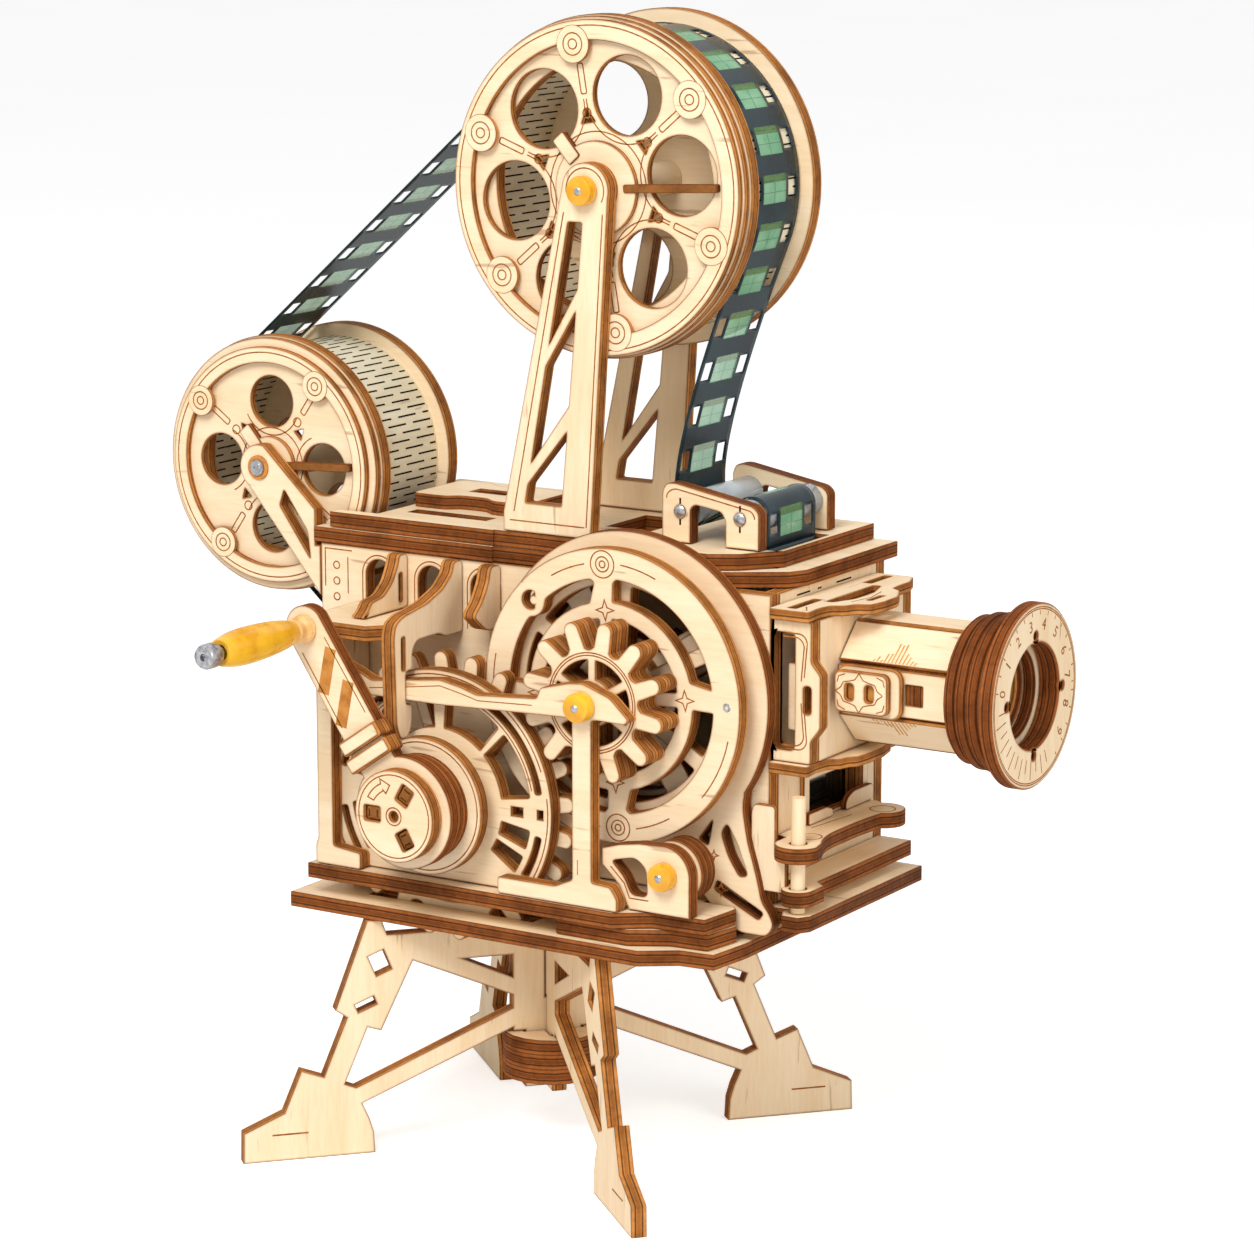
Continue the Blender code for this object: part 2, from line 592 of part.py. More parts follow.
def make_gear_guard():
    """The still ring in front of the big gear: it stands on the deck and steadies the crank shaft."""
    outer = FLYWHEEL_TO_CRANK - PINION_TIP_R - 2 * GAP
    low = math.degrees(math.asin((WALL_Z - CRANK[1]) / outer))
    outline = arc(outer, low, 180.0 - low, steps=30)
    sides = [(low + 4.0, -10.0), (10.0, 84.0), (96.0, 170.0), (190.0, 176.0 - low)]
    slits = [sector(outer - 4.6, outer - 2.7, start, end, 6) for start, end in sides]
    windows = [sector(GUARD_HUB_R, outer - 7.5, start - 2.0, end + 2.0, 6) for start, end in sides]
    eyes = [slot(wide, 2.4, (at, 0.0)) for wide, at in ((3.6, GUARD_HUB_R + 2.2), (1.6, outer - 3.6))]
    front_sheet("gear_guard", RING_Y, outline, slits + windows + eyes + [circle(BORE_R, steps=12)], CRANK)


def make_flywheel():
    """Shaft with its end cap, the heavy rim sheet and the spoked sheet behind it."""
    cap = FRAME_Y - GAP
    shaft = [(0.0, cap - 3.6), (3.2, cap - 3.6), (3.6, cap - 3.0), (3.6, cap), (SHAFT_R, cap),
             (SHAFT_R, SHAFT_BACK), (0.0, SHAFT_BACK)]
    turned_on_y("flywheel_shaft", shaft, FLYWHEEL, 16)
    windows = spoke_windows(22.0, 30.6, 4, 5.0, 4.0, 5)
    inner = spoke_windows(7.0, 18.0, 4, 4.0, 4.0, 4)
    comma = [(-25.6, 22.6), (-23.6, 25.0), (-21.6, 24.6), (-22.6, 22.6), (-21.2, 20.6), (-23.6, 20.2)]
    front_sheet("flywheel_rim", RIM_Y, circle(FLYWHEEL_R), windows + inner
                + [comma, circle(BORE_R, steps=12)], FLYWHEEL)
    back = spoke_windows(12.0, 29.0, 6, 4.5, 27.0, 3)
    front_sheet("flywheel_spokes", SPOKES_Y, circle(36.0), back + [circle(BORE_R, steps=12)], FLYWHEEL)


def make_idler():
    """The small double wheel by the skirt and the arched bracket that carries it."""
    front = RING_Y
    outline = [(38.7, 95.0), (48.0, 97.4)] + arc(7.9, 90, 0, centre=(57.5, 90.0), steps=6)
    outline += [(65.4, WALL_Z), (47.0, WALL_Z), (44.0, 85.6), (38.7, 90.6)]
    opening = [(41.6, 92.0), (49.0, 93.6), (52.6, 91.4), (52.6, 83.6), (47.8, 83.6), (45.6, 88.2)]
    front_sheet("idler_bracket", front, outline, [opening, circle(BORE_R, IDLER, 10)])
    near = front + SHEET + GAP
    wheel = [(0.0, front - 3.4), (3.2, front - 3.4), (3.6, front - 2.8), (3.6, front - GAP),
             (SHAFT_R, front - GAP), (SHAFT_R, near), (IDLER_R, near), (IDLER_R, near + 3.8),
             (IDLER_R - 2.0, near + 4.4), (IDLER_R, near + 5.0), (IDLER_R, BACKING_Y - 5.0),
             (SHAFT_R, BACKING_Y - 5.0), (SHAFT_R, BACKING_Y - GAP), (0.0, BACKING_Y - GAP)]
    turned_on_y("idler_wheel", wheel, IDLER, 16)


def rim_ring(radius, bosses, boss_r, boss_at, first):
    """The raised rim of a reel's near face: its inner edge swells round each boss."""
    inner = radius - REEL_RIM
    loop = []
    half = math.degrees(math.asin(boss_r * 0.98 / inner))
    for k in range(bosses):
        angle = first + 360.0 * k / bosses
        span = 360.0 / bosses
        swell = arc(boss_r, 115, 245, steps=4)
        loop += turned([(boss_at + x, y) for x, y in reversed(swell)], angle)
        loop += arc(inner, angle + half + 1.0, angle + span - half - 1.0, steps=4)
    return loop


def make_reel(kind, centre, radius, drum_r, hub_r, holes, hole_r, hole_at, bosses, boss_at, first_hole,
              first_boss):
    """Near and far flanges, the slit drum between them and the axle that all of them ride on.

    The near flange has a hub disc, a raised rim and two sticks that hold the film's end.
    """
    openings = ring_of_holes(hole_r, hole_at, holes, first_hole)
    bore = [circle(BORE_R, steps=12)]
    between_holes = first_hole + 180.0 / holes
    notches = ring_of_holes(1.9, hub_r + 3.0, holes, between_holes, 3)
    near = front_sheet(kind + "_near_flange", REEL_NEAR + 2.0, circle(radius), openings + notches + bore,
                       centre, SHEET - 2.0)
    hub = front_sheet(kind + "_hub", REEL_NEAR + 0.4, circle(hub_r, steps=24), bore, centre, 1.8)
    join(near, hub)
    sticks = {0.0: (hub_r - 2.0, boss_at - 0.6), 118.0: (hub_r - 4.0, hub_r + 5.0)}
    for angle, (low, high) in sticks.items():
        stick = turned(slot(high - low, STICK, ((low + high) / 2, 0.0)), angle)
        join(near, front_sheet(kind + "_stick", REEL_NEAR + GAP, stick, (), centre, 1.8))
    ring = front_sheet(kind + "_rim", REEL_NEAR, circle(radius - 0.8),
                       [rim_ring(radius, bosses, 4.0, boss_at, first_boss)], centre, 2.3)
    join(near, ring)
    start = REEL_NEAR + PITCH
    far = REEL_FAR + 0.6
    inside = drum_r - DRUM_WALL
    drum = [(inside, start), (radius + 0.6, start), (radius + 0.6, start + SHEET - GAP),
            (drum_r, start + SHEET - GAP), (drum_r, far), (inside, far)]
    flange = front_sheet(kind + "_flange", REEL_FAR, circle(radius + 0.6), openings + bore, centre)
    join(turned_on_y(kind + "_drum", drum, centre, 32), flange)
    cap = ARM_NEAR - GAP
    core = 9.0
    axle = [(0.0, cap - 3.6), (3.2, cap - 3.6), (3.6, cap - 3.0), (3.6, cap), (SHAFT_R, cap),
            (SHAFT_R, start), (core, start), (core, REEL_FAR - GAP), (SHAFT_R, REEL_FAR - GAP),
            (SHAFT_R, ARM_FAR + SHEET + 2.0), (0.0, ARM_FAR + SHEET + 2.0)]
    turned_on_y(kind + "_axle", axle, centre, 18)


def between(low, high, z):
    """Where the straight line through two (x, z) points stands at height z."""
    return low[0] + (high[0] - low[0]) * (z - low[1]) / (high[1] - low[1])


def make_top_supports():
    """Two A-shaped supports that carry the top reel, near and far."""
    x, z = TOP_REEL
    foot = ROOF_TOP + GAP
    left_in = ((x - 19.0, foot + 8.0), (x - 5.2, z - 8.0))
    right_in = ((x - 7.6, foot + 8.0), (x - 0.9, z - 8.0))
    outline = [(x - 26.0, foot), (x + 1.6, foot)] + arc(7.2, -14, 172, centre=TOP_REEL, steps=10)
    outline += [(x - 26.0, foot + 5.0)]
    levels = [(foot + 8.0, foot + 8.0, foot + 13.0, foot + 28.0),
              (foot + 19.0, foot + 35.0, foot + 45.0, foot + 60.0),
              (foot + 51.0, foot + 66.0, z - 8.5, z - 8.5)]
    windows = []
    for left_low, right_low, left_high, right_high in levels:
        windows.append([(between(*left_in, left_low), left_low), (between(*right_in, right_low), right_low),
                        (between(*right_in, right_high), right_high),
                        (between(*left_in, left_high), left_high)])
    holes = windows + [circle(BORE_R, TOP_REEL, 12)]
    front_sheet("near_top_support", ARM_NEAR, outline, holes)
    front_sheet("far_top_support", ARM_FAR, outline, holes)


def make_rear_supports():
    """Two V-shaped arms that reach back from the case to the rear reel."""
    x, z = REAR_REEL
    wall = BODY_LEFT - GAP
    roof = ROOF_LEFT - GAP
    outline = arc(6.4, 75, 235, centre=REAR_REEL, steps=8)
    outline += [(wall, WALL_TOP - 15.0), (wall, WALL_TOP - 1.0), (roof, WALL_TOP - 1.0), (roof, ROOF_TOP)]
    window = [(x + 7.0, z - 10.0), (wall - 3.4, WALL_TOP - 5.0), (roof - 2.6, WALL_TOP + 2.6),
              (x + 8.6, z - 5.4)]
    holes = [window, circle(BORE_R, REAR_REEL, 12)]
    front_sheet("near_rear_support", ARM_NEAR, outline, holes)
    front_sheet("far_rear_support", ARM_FAR, outline, holes)


def tangent_angle(start, start_r, end, end_r):
    """Direction from each centre to where a straight run leaves one wheel and meets the next.

    Both wheels lie on the right of the run.
    """
    along = math.atan2(end[1] - start[1], end[0] - start[0])
    lean = math.asin((start_r - end_r) / math.dist(start, end))
    return math.degrees(along + math.pi / 2 - lean)


def film_route():
    """The film's closed loop, clockwise: rear reel, top reel, rollers, gate, sprocket, rear slot."""
    rear_r = REAR_DRUM_R + GAP
    top_r = TOP_DRUM_R + GAP
    leave = tangent_angle(REAR_REEL, rear_r, TOP_REEL, top_r)
    x, z = TOP_REEL
    route = arc(top_r, leave, -22, centre=TOP_REEL, steps=18)
    start = route.pop()
    aim = polar(50.0, -112, start)
    end = (ROLLER_LEFT[0] - 5.1, ROLLER_LEFT[1] + 5.4)
    route += bend(start, aim, end, 7)
    wrap = ROLLER_R + GAP
    route += arc(wrap + FILM_THICK, 190, 285, centre=ROLLER_LEFT, steps=5)
    route += arc(wrap, 125, 5, centre=ROLLER_RIGHT, steps=6)
    route += [(GATE_X - 1.2, ROOF_TOP + 1.0), (GATE_X - 0.6, ROOF_Z + 3.7), (GATE_X, WALL_TOP - 4.0),
              (GATE_X, 114.0), (64.0, 101.0),
              (56.0, 93.0), (44.0, 88.0), (20.0, 86.4)]
    route += arc(SPROCKET_R + GAP + 1.0, 280, 225, centre=CRANK, steps=4)
    route += [(-48.0, WALL_TOP - 31.0), (-60.0, WALL_TOP - 23.6), (-68.0, WALL_TOP - 21.6),
              (-77.0, WALL_TOP - 20.4)]
    route += arc(rear_r, 275, leave, centre=REAR_REEL, steps=14)
    return route


def offset_loop(points, distance):
    """Each point pushed square to the loop, to the right of its direction of travel."""
    loop = []
    count = len(points)
    for k in range(count):
        before = points[k - 1]
        after = points[(k + 1) % count]
        dx = after[0] - before[0]
        dy = after[1] - before[1]
        length = math.hypot(dx, dy)
        loop.append((points[k][0] + dy / length * distance, points[k][1] - dx / length * distance))
    return loop


def make_film():
    """One endless strip, a thin band between two offset copies of the same route."""
    inside = film_route()
    outside = offset_loop(inside, -FILM_THICK)
    front_sheet("film_strip", FILM_NEAR, outside, [inside], thickness=FILM_FAR - FILM_NEAR, finish=film())


def make_rollers():
    """The two brackets on the roof and the clear tube rollers between them."""
    near = -3.4
    far = ARM_FAR
    foot = ROOF_TOP + GAP
    low = foot + 3.7
    high = foot + 10.7
    outline = [(37.5, foot), (67.0, foot), (67.0, high - 0.4), (63.6, high + 3.0), (54.0, high + 5.6),
               (41.0, high + 5.6), (37.5, high + 2.0)]
    holes = [circle(PIN_R, ROLLER_LEFT, 10), circle(PIN_R, ROLLER_RIGHT, 10),
             [(48.0, low), (56.6, low), (55.4, high), (49.4, high)]]
    front_sheet("near_roller_bracket", near, outline, holes)
    front_sheet("far_roller_bracket", far, outline, holes)
    pin = PIN_R - GAP
    for name, centre in {"left_roller": ROLLER_LEFT, "right_roller": ROLLER_RIGHT}.items():
        profile = [(0.0, near - 1.4), (2.0, near - 1.4), (2.0, near - GAP), (pin, near - GAP),
                   (pin, near + SHEET + GAP), (ROLLER_R, near + SHEET + GAP), (ROLLER_R, far - GAP),
                   (pin, far - GAP), (pin, far + SHEET + GAP), (2.0, far + SHEET + GAP),
                   (2.0, far + SHEET + 1.4), (0.0, far + SHEET + 1.4)]
        turned_on_y(name, profile, centre, 16, clear_plastic())


def make_inside():
    """What works inside the case: the film sprocket, the barrel shutter and the lamp."""
    near = FILM_NEAR + 1.0
    wide = FILM_FAR - FILM_NEAR - 2.0
    sprocket = gear_outline(12, SPROCKET_R + 0.6, 1.4, 1.6)
    front_sheet("film_sprocket", near, sprocket, [circle(BORE_R, steps=12)], CRANK, wide)
    blades = arc(14.0, -35, 35, steps=6) + arc(3.6, 70, 110, steps=2) + arc(14.0, 145, 215, steps=6)
    blades += arc(3.6, 250, 290, steps=2)
    front_sheet("barrel_shutter", near, blades, [circle(BORE_R, steps=12)], FLYWHEEL, wide)
    lamp = [(0.0, -6.0), (9.0, -6.0), (9.0, 4.0), (5.0, 6.0), (4.2, 12.0), (2.4, 15.0), (0.0, 16.0)]
    bulb = turned_on_x("bulb", lamp, (BODY_MID, 131.0), 16)
    holder = [(BODY_NEAR + PITCH, 117.0), (BODY_FAR - PITCH, 117.0), (BODY_FAR - PITCH, 145.0),
              (BODY_NEAR + PITCH, 145.0)]
    join(side_sheet("lamp_holder", -5.7 - SHEET, holder), bulb)


def make_lens():
    """Box, two flanges, octagonal barrel, focus plate and the hood that slides with its glass."""
    y, z = LENS
    left = BODY_RIGHT + GAP
    near = y - 21.8
    far = y + 21.8
    frame = [(near, LENS_BOX_LOW), (far, LENS_BOX_LOW), (far, LENS_BOX_HIGH), (near, LENS_BOX_HIGH)]
    opening = [(near + SHEET, LENS_BOX_LOW + SHEET), (far - SHEET, LENS_BOX_LOW + SHEET),
               (far - SHEET, LENS_BOX_HIGH - SHEET), (near + SHEET, LENS_BOX_HIGH - SHEET)]
    box = side_sheet("lens_box", left, frame, [opening], thickness=7.8)
    face = [(near + 2.2, LENS_BOX_LOW), (far - 2.2, LENS_BOX_LOW), (far - 2.2, LENS_BOX_HIGH),
            (near + 2.2, LENS_BOX_HIGH)]
    join(box, side_sheet("lens_face", left + 7.5, face, [circle(13.0, LENS, 24)], thickness=SHEET))
    flange = [(left, near - 2.0), (88.0, near - 2.0), (91.0, near + 1.0), (89.0, near + 6.0),
              (94.0, near + 12.0), (97.0, y), (94.0, far - 12.0), (89.0, far - 6.0), (91.0, far - 1.0),
              (88.0, far + 2.0), (left, far + 2.0)]
    slots = [slot(2.6, 11.0, (80.5, near + 8.0)), slot(2.6, 11.0, (80.5, far - 8.0))]
    flat_sheet("lens_upper_flange", LENS_BOX_HIGH + GAP, flange, slots)
    flat_sheet("lens_lower_flange", LENS_BOX_LOW - PITCH, flange)
    facets = circle(BARREL_APOTHEM / math.cos(math.radians(22.5)), steps=8)
    bore = circle((BARREL_APOTHEM - BARREL_WALL) / math.cos(math.radians(22.5)), steps=8)
    barrel = side_sheet("lens_barrel", BARREL_X, turned(facets, 22.5), [turned(bore, 22.5)], LENS,
                        BARREL_END - BARREL_X)
    window = front_sheet("barrel_window", y - BARREL_APOTHEM - 1.0, slot(4.9, 5.5), (), (110.9, z),
                         BARREL_WALL + 2.0)
    join(barrel, window, cut=True)
    knob = rounded(slot(17.0, 13.6), 3.0)
    eyes = [rounded(slot(2.4, 4.4, (x_, 0.0)), 1.1, 2) for x_ in (-1.8, 3.6)]
    front_sheet("focus_plate", y - BARREL_APOTHEM - GAP - SHEET, knob, eyes, (99.0, z))
    inner = 10.8
    neck = BARREL_APOTHEM - BARREL_WALL - 2 * GAP
    start = BARREL_END + GAP
    hood = [(inner, 103.0), (neck, 103.0), (neck, start), (20.0, start), (20.0, start + 3.4),
            (19.0, start + 4.0), (21.3, start + 4.6), (21.3, start + 8.0), (20.4, start + 8.6),
            (22.5, start + 9.2), (22.5, HOOD_END - 4.4), (21.0, HOOD_END - 3.8), (DIAL_R, HOOD_END - 3.2),
            (DIAL_R, HOOD_END), (13.3, HOOD_END), (13.3, HOOD_END - 6.0), (inner, HOOD_END - 8.0)]
    turned_on_x("lens_hood", hood, LENS, 24, dark_birch())
    glass_r = inner - GAP
    glass = [(0.0, 120.0), (5.0, 120.5), (glass_r, 122.0), (glass_r, 123.6), (5.0, 125.2), (0.0, 125.8)]
    turned_on_x("lens_glass", glass, LENS, 20, clear_plastic())


def make_lens_side():
    """Window glass, the curved shelf, the plate under it and the round post by the corner."""
    pane = [(-1.6, 96.4), (32.0, 96.4), (32.0, 112.0), (-1.6, 112.0)]
    side_sheet("window_glass", BODY_RIGHT - SHEET - GAP - 1.6, pane, thickness=1.6, finish=dark_glass())
    left = BODY_RIGHT + GAP
    hole = circle(POST_R + GAP, POST, 12)
    shelf = [(left, -9.0), (79.4, -10.0)] + arc(6.2, 170, 350, centre=POST, steps=10)
    shelf += [(88.6, -8.0), (84.8, 2.0), (84.8, 14.0), (88.4, 24.0)]
    shelf += arc(5.8, -60, 120, centre=(89.6, 33.6), steps=8) + [(84.0, 40.0), (left, 40.0)]
    flat_sheet("lens_shelf", SHELF_Z, shelf, [hole])
    lug = arc(4.4, 170, 360, centre=POST, steps=8)
    plate = [(left, -7.6), (81.0, -7.6)] + lug + [(90.0, -8.0), (86.6, -5.0), (86.6, 46.0), (left, 46.0)]
    flat_sheet("lens_side_plate", WALL_Z + 2.1, plate, [hole])
    rod = [(0.0, WALL_Z), (POST_R, WALL_Z), (POST_R, POST_TOP), (0.0, POST_TOP)]
    mesh = turned_mesh("corner_post", rod, 12)
    put("corner_post", mesh, birch(), (POST[0], POST[1], 0), False, 0)


def make_frame_empty():
    """The parent that puts the middle of the whole footprint on the world's origin."""
    left = REAR_REEL[0] - REAR_REEL_R - 0.6
    right = HOOD_END
    turn = math.radians(LEG_TURN)
    near = HANDLE_END
    far = LEG_REACH * math.sin(turn) + SHEET / 2 * math.cos(turn)
    parent = bpy.data.objects.new("projector", None)
    bpy.context.collection.objects.link(parent)
    parent.location = (-(left + right) / 2 * MM, -(near + far) / 2 * MM, 0)


def build():
    for item in list(bpy.data.objects):
        bpy.data.objects.remove(item)
    make_frame_empty()
    make_legs()
    make_deck()
    make_walls()
    make_roof()
    make_backing_plate()
    make_front_frame()
    make_crank_shelf()
    make_crank()
    make_gears()
    make_gear_guard()
    make_flywheel()
    make_idler()
    make_reel("top_reel", TOP_REEL, TOP_REEL_R, TOP_DRUM_R, 12.5, 6, 10.4, 26.0, 6, 37.6, 10.0, 40.0)
    make_reel("rear_reel", REAR_REEL, REAR_REEL_R, REAR_DRUM_R, 8.0, 4, 7.2, 17.6, 4, 28.6, 0.0, 55.0)
    make_top_supports()
    make_rear_supports()
    make_film()
    make_rollers()
    make_inside()
    make_lens()
    make_lens_side()
    print(len([item for item in bpy.data.objects if item.type == "MESH"]), "pieces")


build()
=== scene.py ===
# %% [markdown]
# # A plywood toy film projector
#
# The real thing is a kit: sheets of birch plywood are cut by laser, and the burnt edges stay
# brown while the faces stay pale. The imported CAD model gives every piece its place. This script
# gives each of them its look: rounded and scorched edges, plies, grain, engraved lines, film,
# plastic and steel. It starts by loading that model.

# %% Load the frame
import json
import math

import bmesh
import bpy
import numpy as np
from mathutils import Matrix


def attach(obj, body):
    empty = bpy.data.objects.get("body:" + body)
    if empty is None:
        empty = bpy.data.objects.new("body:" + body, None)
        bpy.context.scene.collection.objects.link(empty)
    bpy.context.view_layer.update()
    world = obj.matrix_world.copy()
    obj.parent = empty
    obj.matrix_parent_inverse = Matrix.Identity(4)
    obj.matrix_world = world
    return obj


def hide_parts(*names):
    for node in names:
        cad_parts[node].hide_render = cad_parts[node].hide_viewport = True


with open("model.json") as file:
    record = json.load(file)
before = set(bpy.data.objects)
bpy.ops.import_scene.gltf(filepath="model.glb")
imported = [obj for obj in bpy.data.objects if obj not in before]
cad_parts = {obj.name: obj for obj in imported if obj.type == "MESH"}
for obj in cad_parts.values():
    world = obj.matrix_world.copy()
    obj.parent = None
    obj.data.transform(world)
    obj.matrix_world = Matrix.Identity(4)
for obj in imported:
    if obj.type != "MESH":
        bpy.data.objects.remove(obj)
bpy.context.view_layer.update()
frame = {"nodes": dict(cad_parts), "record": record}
BODIES = frame["record"]["behaviour"]["bodies"]
BODY_OF = {node: body for body, nodes in BODIES.items() for node in nodes}
SLOT_OF = {part["node"]: part["material_slot"] for part in frame["record"]["subparts"]}

# %% [markdown]
# The pieces were laid out in millimetres round the stand's axis, and the whole was then moved so
# that the middle of its footprint is the origin. The same move is used here, so that a size from
# the layout can be used as it stands.

# %% Sizes that the layout fixes
MM = 0.001
OFFSET = np.array([-6.45, 14.97, 0.0])
SHEET = 4.2
GAP = 0.3
PITCH = SHEET + GAP
BORE_R = 2.8
CRANK = (-12.4, 101.0)
FLYWHEEL = (35.6, 133.2)
TOP_REEL = (19.4, 263.3)
REAR_REEL = (-88.0, 181.0)
LENS = (18.0, 137.0)
HANDLE = (-43.8, 147.2)
POST = (85.6, -14.0)
IDLER = (58.0, 90.0)
BACKING_Y = -17.0
SPOKES_Y = BACKING_Y - PITCH
RIM_Y = SPOKES_Y - PITCH
GEAR_Y = RIM_Y - PITCH
RING_Y = GEAR_Y - PITCH
FRAME_Y = RING_Y - PITCH
ARM_Y = -52.0
CAP_Y = ARM_Y - PITCH
REEL_NEAR = -8.0
REEL_FAR = 28.5
ARM_NEAR = REEL_NEAR - PITCH
WALL_Z = 79.5
DECK_TOP = 79.2
ROOF_TOP = 171.0
DIAL_R = 24.3
DIAL_X = 136.9
WALL_NEAR = -12.5
WALL_FAR = 48.5
EAVE = 162.0
ROD_END = 51.4
ROLLER_NEAR = -3.4
ARCHES = (-47.6, -30.3, -13.0)
PICTURE_LONG = 12.6
print("deck at", DECK_TOP, "mm, roof at", ROOF_TOP, "mm")

# %% [markdown]
# Four small helpers put data into the scene: an object for a mesh, a lamp or a camera, a number
# stored at every point of a mesh, and a mesh's points as one array, read and written back.

# %% Objects and stored numbers


def add_object(name, data):
    """An object in the scene that holds the data."""
    made = bpy.data.objects.new(name, data)
    bpy.context.scene.collection.objects.link(made)
    return made


def store(mesh, label, values):
    """One number for every point of a mesh."""
    attribute = mesh.attributes.new(label, "FLOAT", "POINT")
    attribute.data.foreach_set("value", np.asarray(values, np.float32))


def points_of(mesh):
    """All points of a mesh as one array, in the units that the mesh has."""
    points = np.empty(len(mesh.vertices) * 3, np.float32)
    mesh.vertices.foreach_get("co", points)
    return points.reshape(-1, 3)


def write_points(mesh, points):
    """Points of the layout, in millimetres, written to a mesh in metres."""
    mesh.vertices.foreach_set("co", ((points + OFFSET) * MM).astype(np.float32).ravel())


print("object helpers ready")

# %% [markdown]
# The camera stands where the photographer's did. Its place was worked out once from corners of
# the object that are easy to recognise, and it is turned so that upright posts stay upright.

# %% Camera
EYE = (np.array([605.47, -926.52, 371.30]) + OFFSET) * MM
AZIMUTH = math.radians(32.09)
ELEVATION = math.radians(11.64)
FIELD = math.radians(17.05)


def look(azimuth, elevation):
    """Rotation whose z axis points back from the subject, in rows right, up, back."""
    back = np.array([math.sin(azimuth) * math.cos(elevation),
                     -math.cos(azimuth) * math.cos(elevation), math.sin(elevation)])
    right = np.array([math.cos(azimuth), math.sin(azimuth), 0.0])
    return np.array([right, np.cross(back, right), back])


def aimed(rows, place):
    """The matrix of an object that is turned by three rows and stands at a place."""
    placed = np.eye(4)
    placed[:3, :3] = rows.T
    placed[:3, 3] = place
    return Matrix(placed.tolist())


lens = bpy.data.cameras.new("view")
lens.angle = FIELD
camera = add_object("view", lens)
camera.matrix_world = aimed(look(AZIMUTH, ELEVATION), EYE)
bpy.context.scene.camera = camera
bpy.context.scene.view_settings.view_transform = "Standard"
print("camera", EYE.round(3))

# %% [markdown]
# A node tree is long to write by hand. These small helpers add a node, set its plain numbers and
# join its sockets, so that each material below reads as a list of what feeds what.

# %% Helpers for node trees


class Tree:
    """A node tree with one call to add a node and wire its inputs."""

    def __init__(self, tree):
        self.tree = tree

    def add(self, kind, inputs=None, **settings):
        """Add a node; each input is a number, a colour or another node's output."""
        node = self.tree.nodes.new(kind)
        for name, value in settings.items():
            setattr(node, name, value)
        for key, value in (inputs or {}).items():
            self.feed(node.inputs[key], value)
        return node

    def feed(self, socket, value):
        """Wire another node's output to a socket, or set the socket's plain value."""
        if isinstance(value, bpy.types.NodeSocket):
            self.tree.links.new(value, socket)
        else:
            socket.default_value = value

    def math(self, operation, a, b=0.0):
        return self.add("ShaderNodeMath", {0: a, 1: b}, operation=operation).outputs[0]

    def times(self, a, b):
        return self.math("MULTIPLY", a, b)

    def plus(self, a, b):
        return self.math("ADD", a, b)

    def minus(self, a, b):
        return self.math("SUBTRACT", a, b)

    def ramp(self, value, low, high):
        """A soft step that rises from 0 to 1 while the value goes from low to high."""
        step = self.add("ShaderNodeMapRange", {"Value": value, "From Min": low, "From Max": high},
                        interpolation_type="SMOOTHSTEP")
        return step.outputs["Result"]

    def mix(self, factor, a, b):
        """A colour between a and b; the node's colour sockets are 6 and 7, its colour output 2."""
        return self.add("ShaderNodeMix", {0: factor, 6: a, 7: b}, data_type="RGBA").outputs[2]

    def noise(self, vector, scale, detail=4.0, roughness=0.5):
        node = self.add("ShaderNodeTexNoise", {"Vector": vector, "Scale": scale, "Detail": detail,
                                               "Roughness": roughness})
        return node.outputs["Fac"]

    def here(self):
        return self.add("ShaderNodeTexCoord").outputs["Object"]

    def stretch(self, vector, scale):
        return self.add("ShaderNodeMapping", {"Vector": vector, "Scale": scale}).outputs["Vector"]

    def stored(self, label):
        """A number that is stored at the mesh's points."""
        return self.add("ShaderNodeAttribute", attribute_name=label).outputs["Fac"]


def new_group(name, inputs, outputs):
    """A shader node group with named sockets; returns the group, its tree, inputs and outputs."""
    group = bpy.data.node_groups.new(name, "ShaderNodeTree")
    for socket, kind, value in inputs:
        made = group.interface.new_socket(name=socket, in_out="INPUT", socket_type=kind)
        if value is not None:
            made.default_value = value
    for socket, kind in outputs:
        group.interface.new_socket(name=socket, in_out="OUTPUT", socket_type=kind)
    tree = Tree(group)
    return group, tree, tree.add("NodeGroupInput").outputs, tree.add("NodeGroupOutput").inputs


def colour(red, green, blue):
    """A colour as seen on screen, 0 to 255, made linear for the shader."""
    srgb = np.array([red, green, blue]) / 255.0
    linear = np.where(srgb <= 0.04045, srgb / 12.92, ((srgb + 0.055) / 1.055) ** 2.4)
    return (*linear.tolist(), 1.0)


print("node helpers ready")

# %% [markdown]
# Birch faces are pale cream with fine long fibres, faint broad bands, a few short brown flecks,
# and a golden rim where the laser passed. A noise texture that is squeezed across the grain gives
# the fibres, and the `char` attribute, which is 1 at a cut and 0 a little way in, gives the rim.

# %% Node group: a birch face
FLOAT = "NodeSocketFloat"
COLOUR = "NodeSocketColor"
VECTOR = "NodeSocketVector"
face_group, t, given, out = new_group(
    "birch_face",
    [("Place", VECTOR, None), ("Char", FLOAT, 0.0), ("Pale", COLOUR, colour(244, 221, 186)),
     ("Deep", COLOUR, colour(224, 187, 138)), ("Burnt", COLOUR, colour(138, 76, 30))],
    [("Color", COLOUR), ("Roughness", FLOAT), ("Height", FLOAT)])
fibre = t.noise(given["Place"], 1000.0, 6.0, 0.62)
band = t.noise(given["Place"], 110.0, 4.0, 0.55)
fleck = t.noise(given["Place"], 520.0, 2.0, 0.4)
tone = t.plus(t.times(t.ramp(fibre, 0.32, 0.74), 0.26),
              t.times(t.ramp(band, 0.34, 0.74), 0.42))
wood = t.mix(tone, given["Pale"], given["Deep"])
wood = t.mix(t.times(t.ramp(fleck, 0.68, 0.76), 0.45), wood, given["Burnt"])
smoke = t.noise(given["Place"], 160.0, 2.0, 0.5)
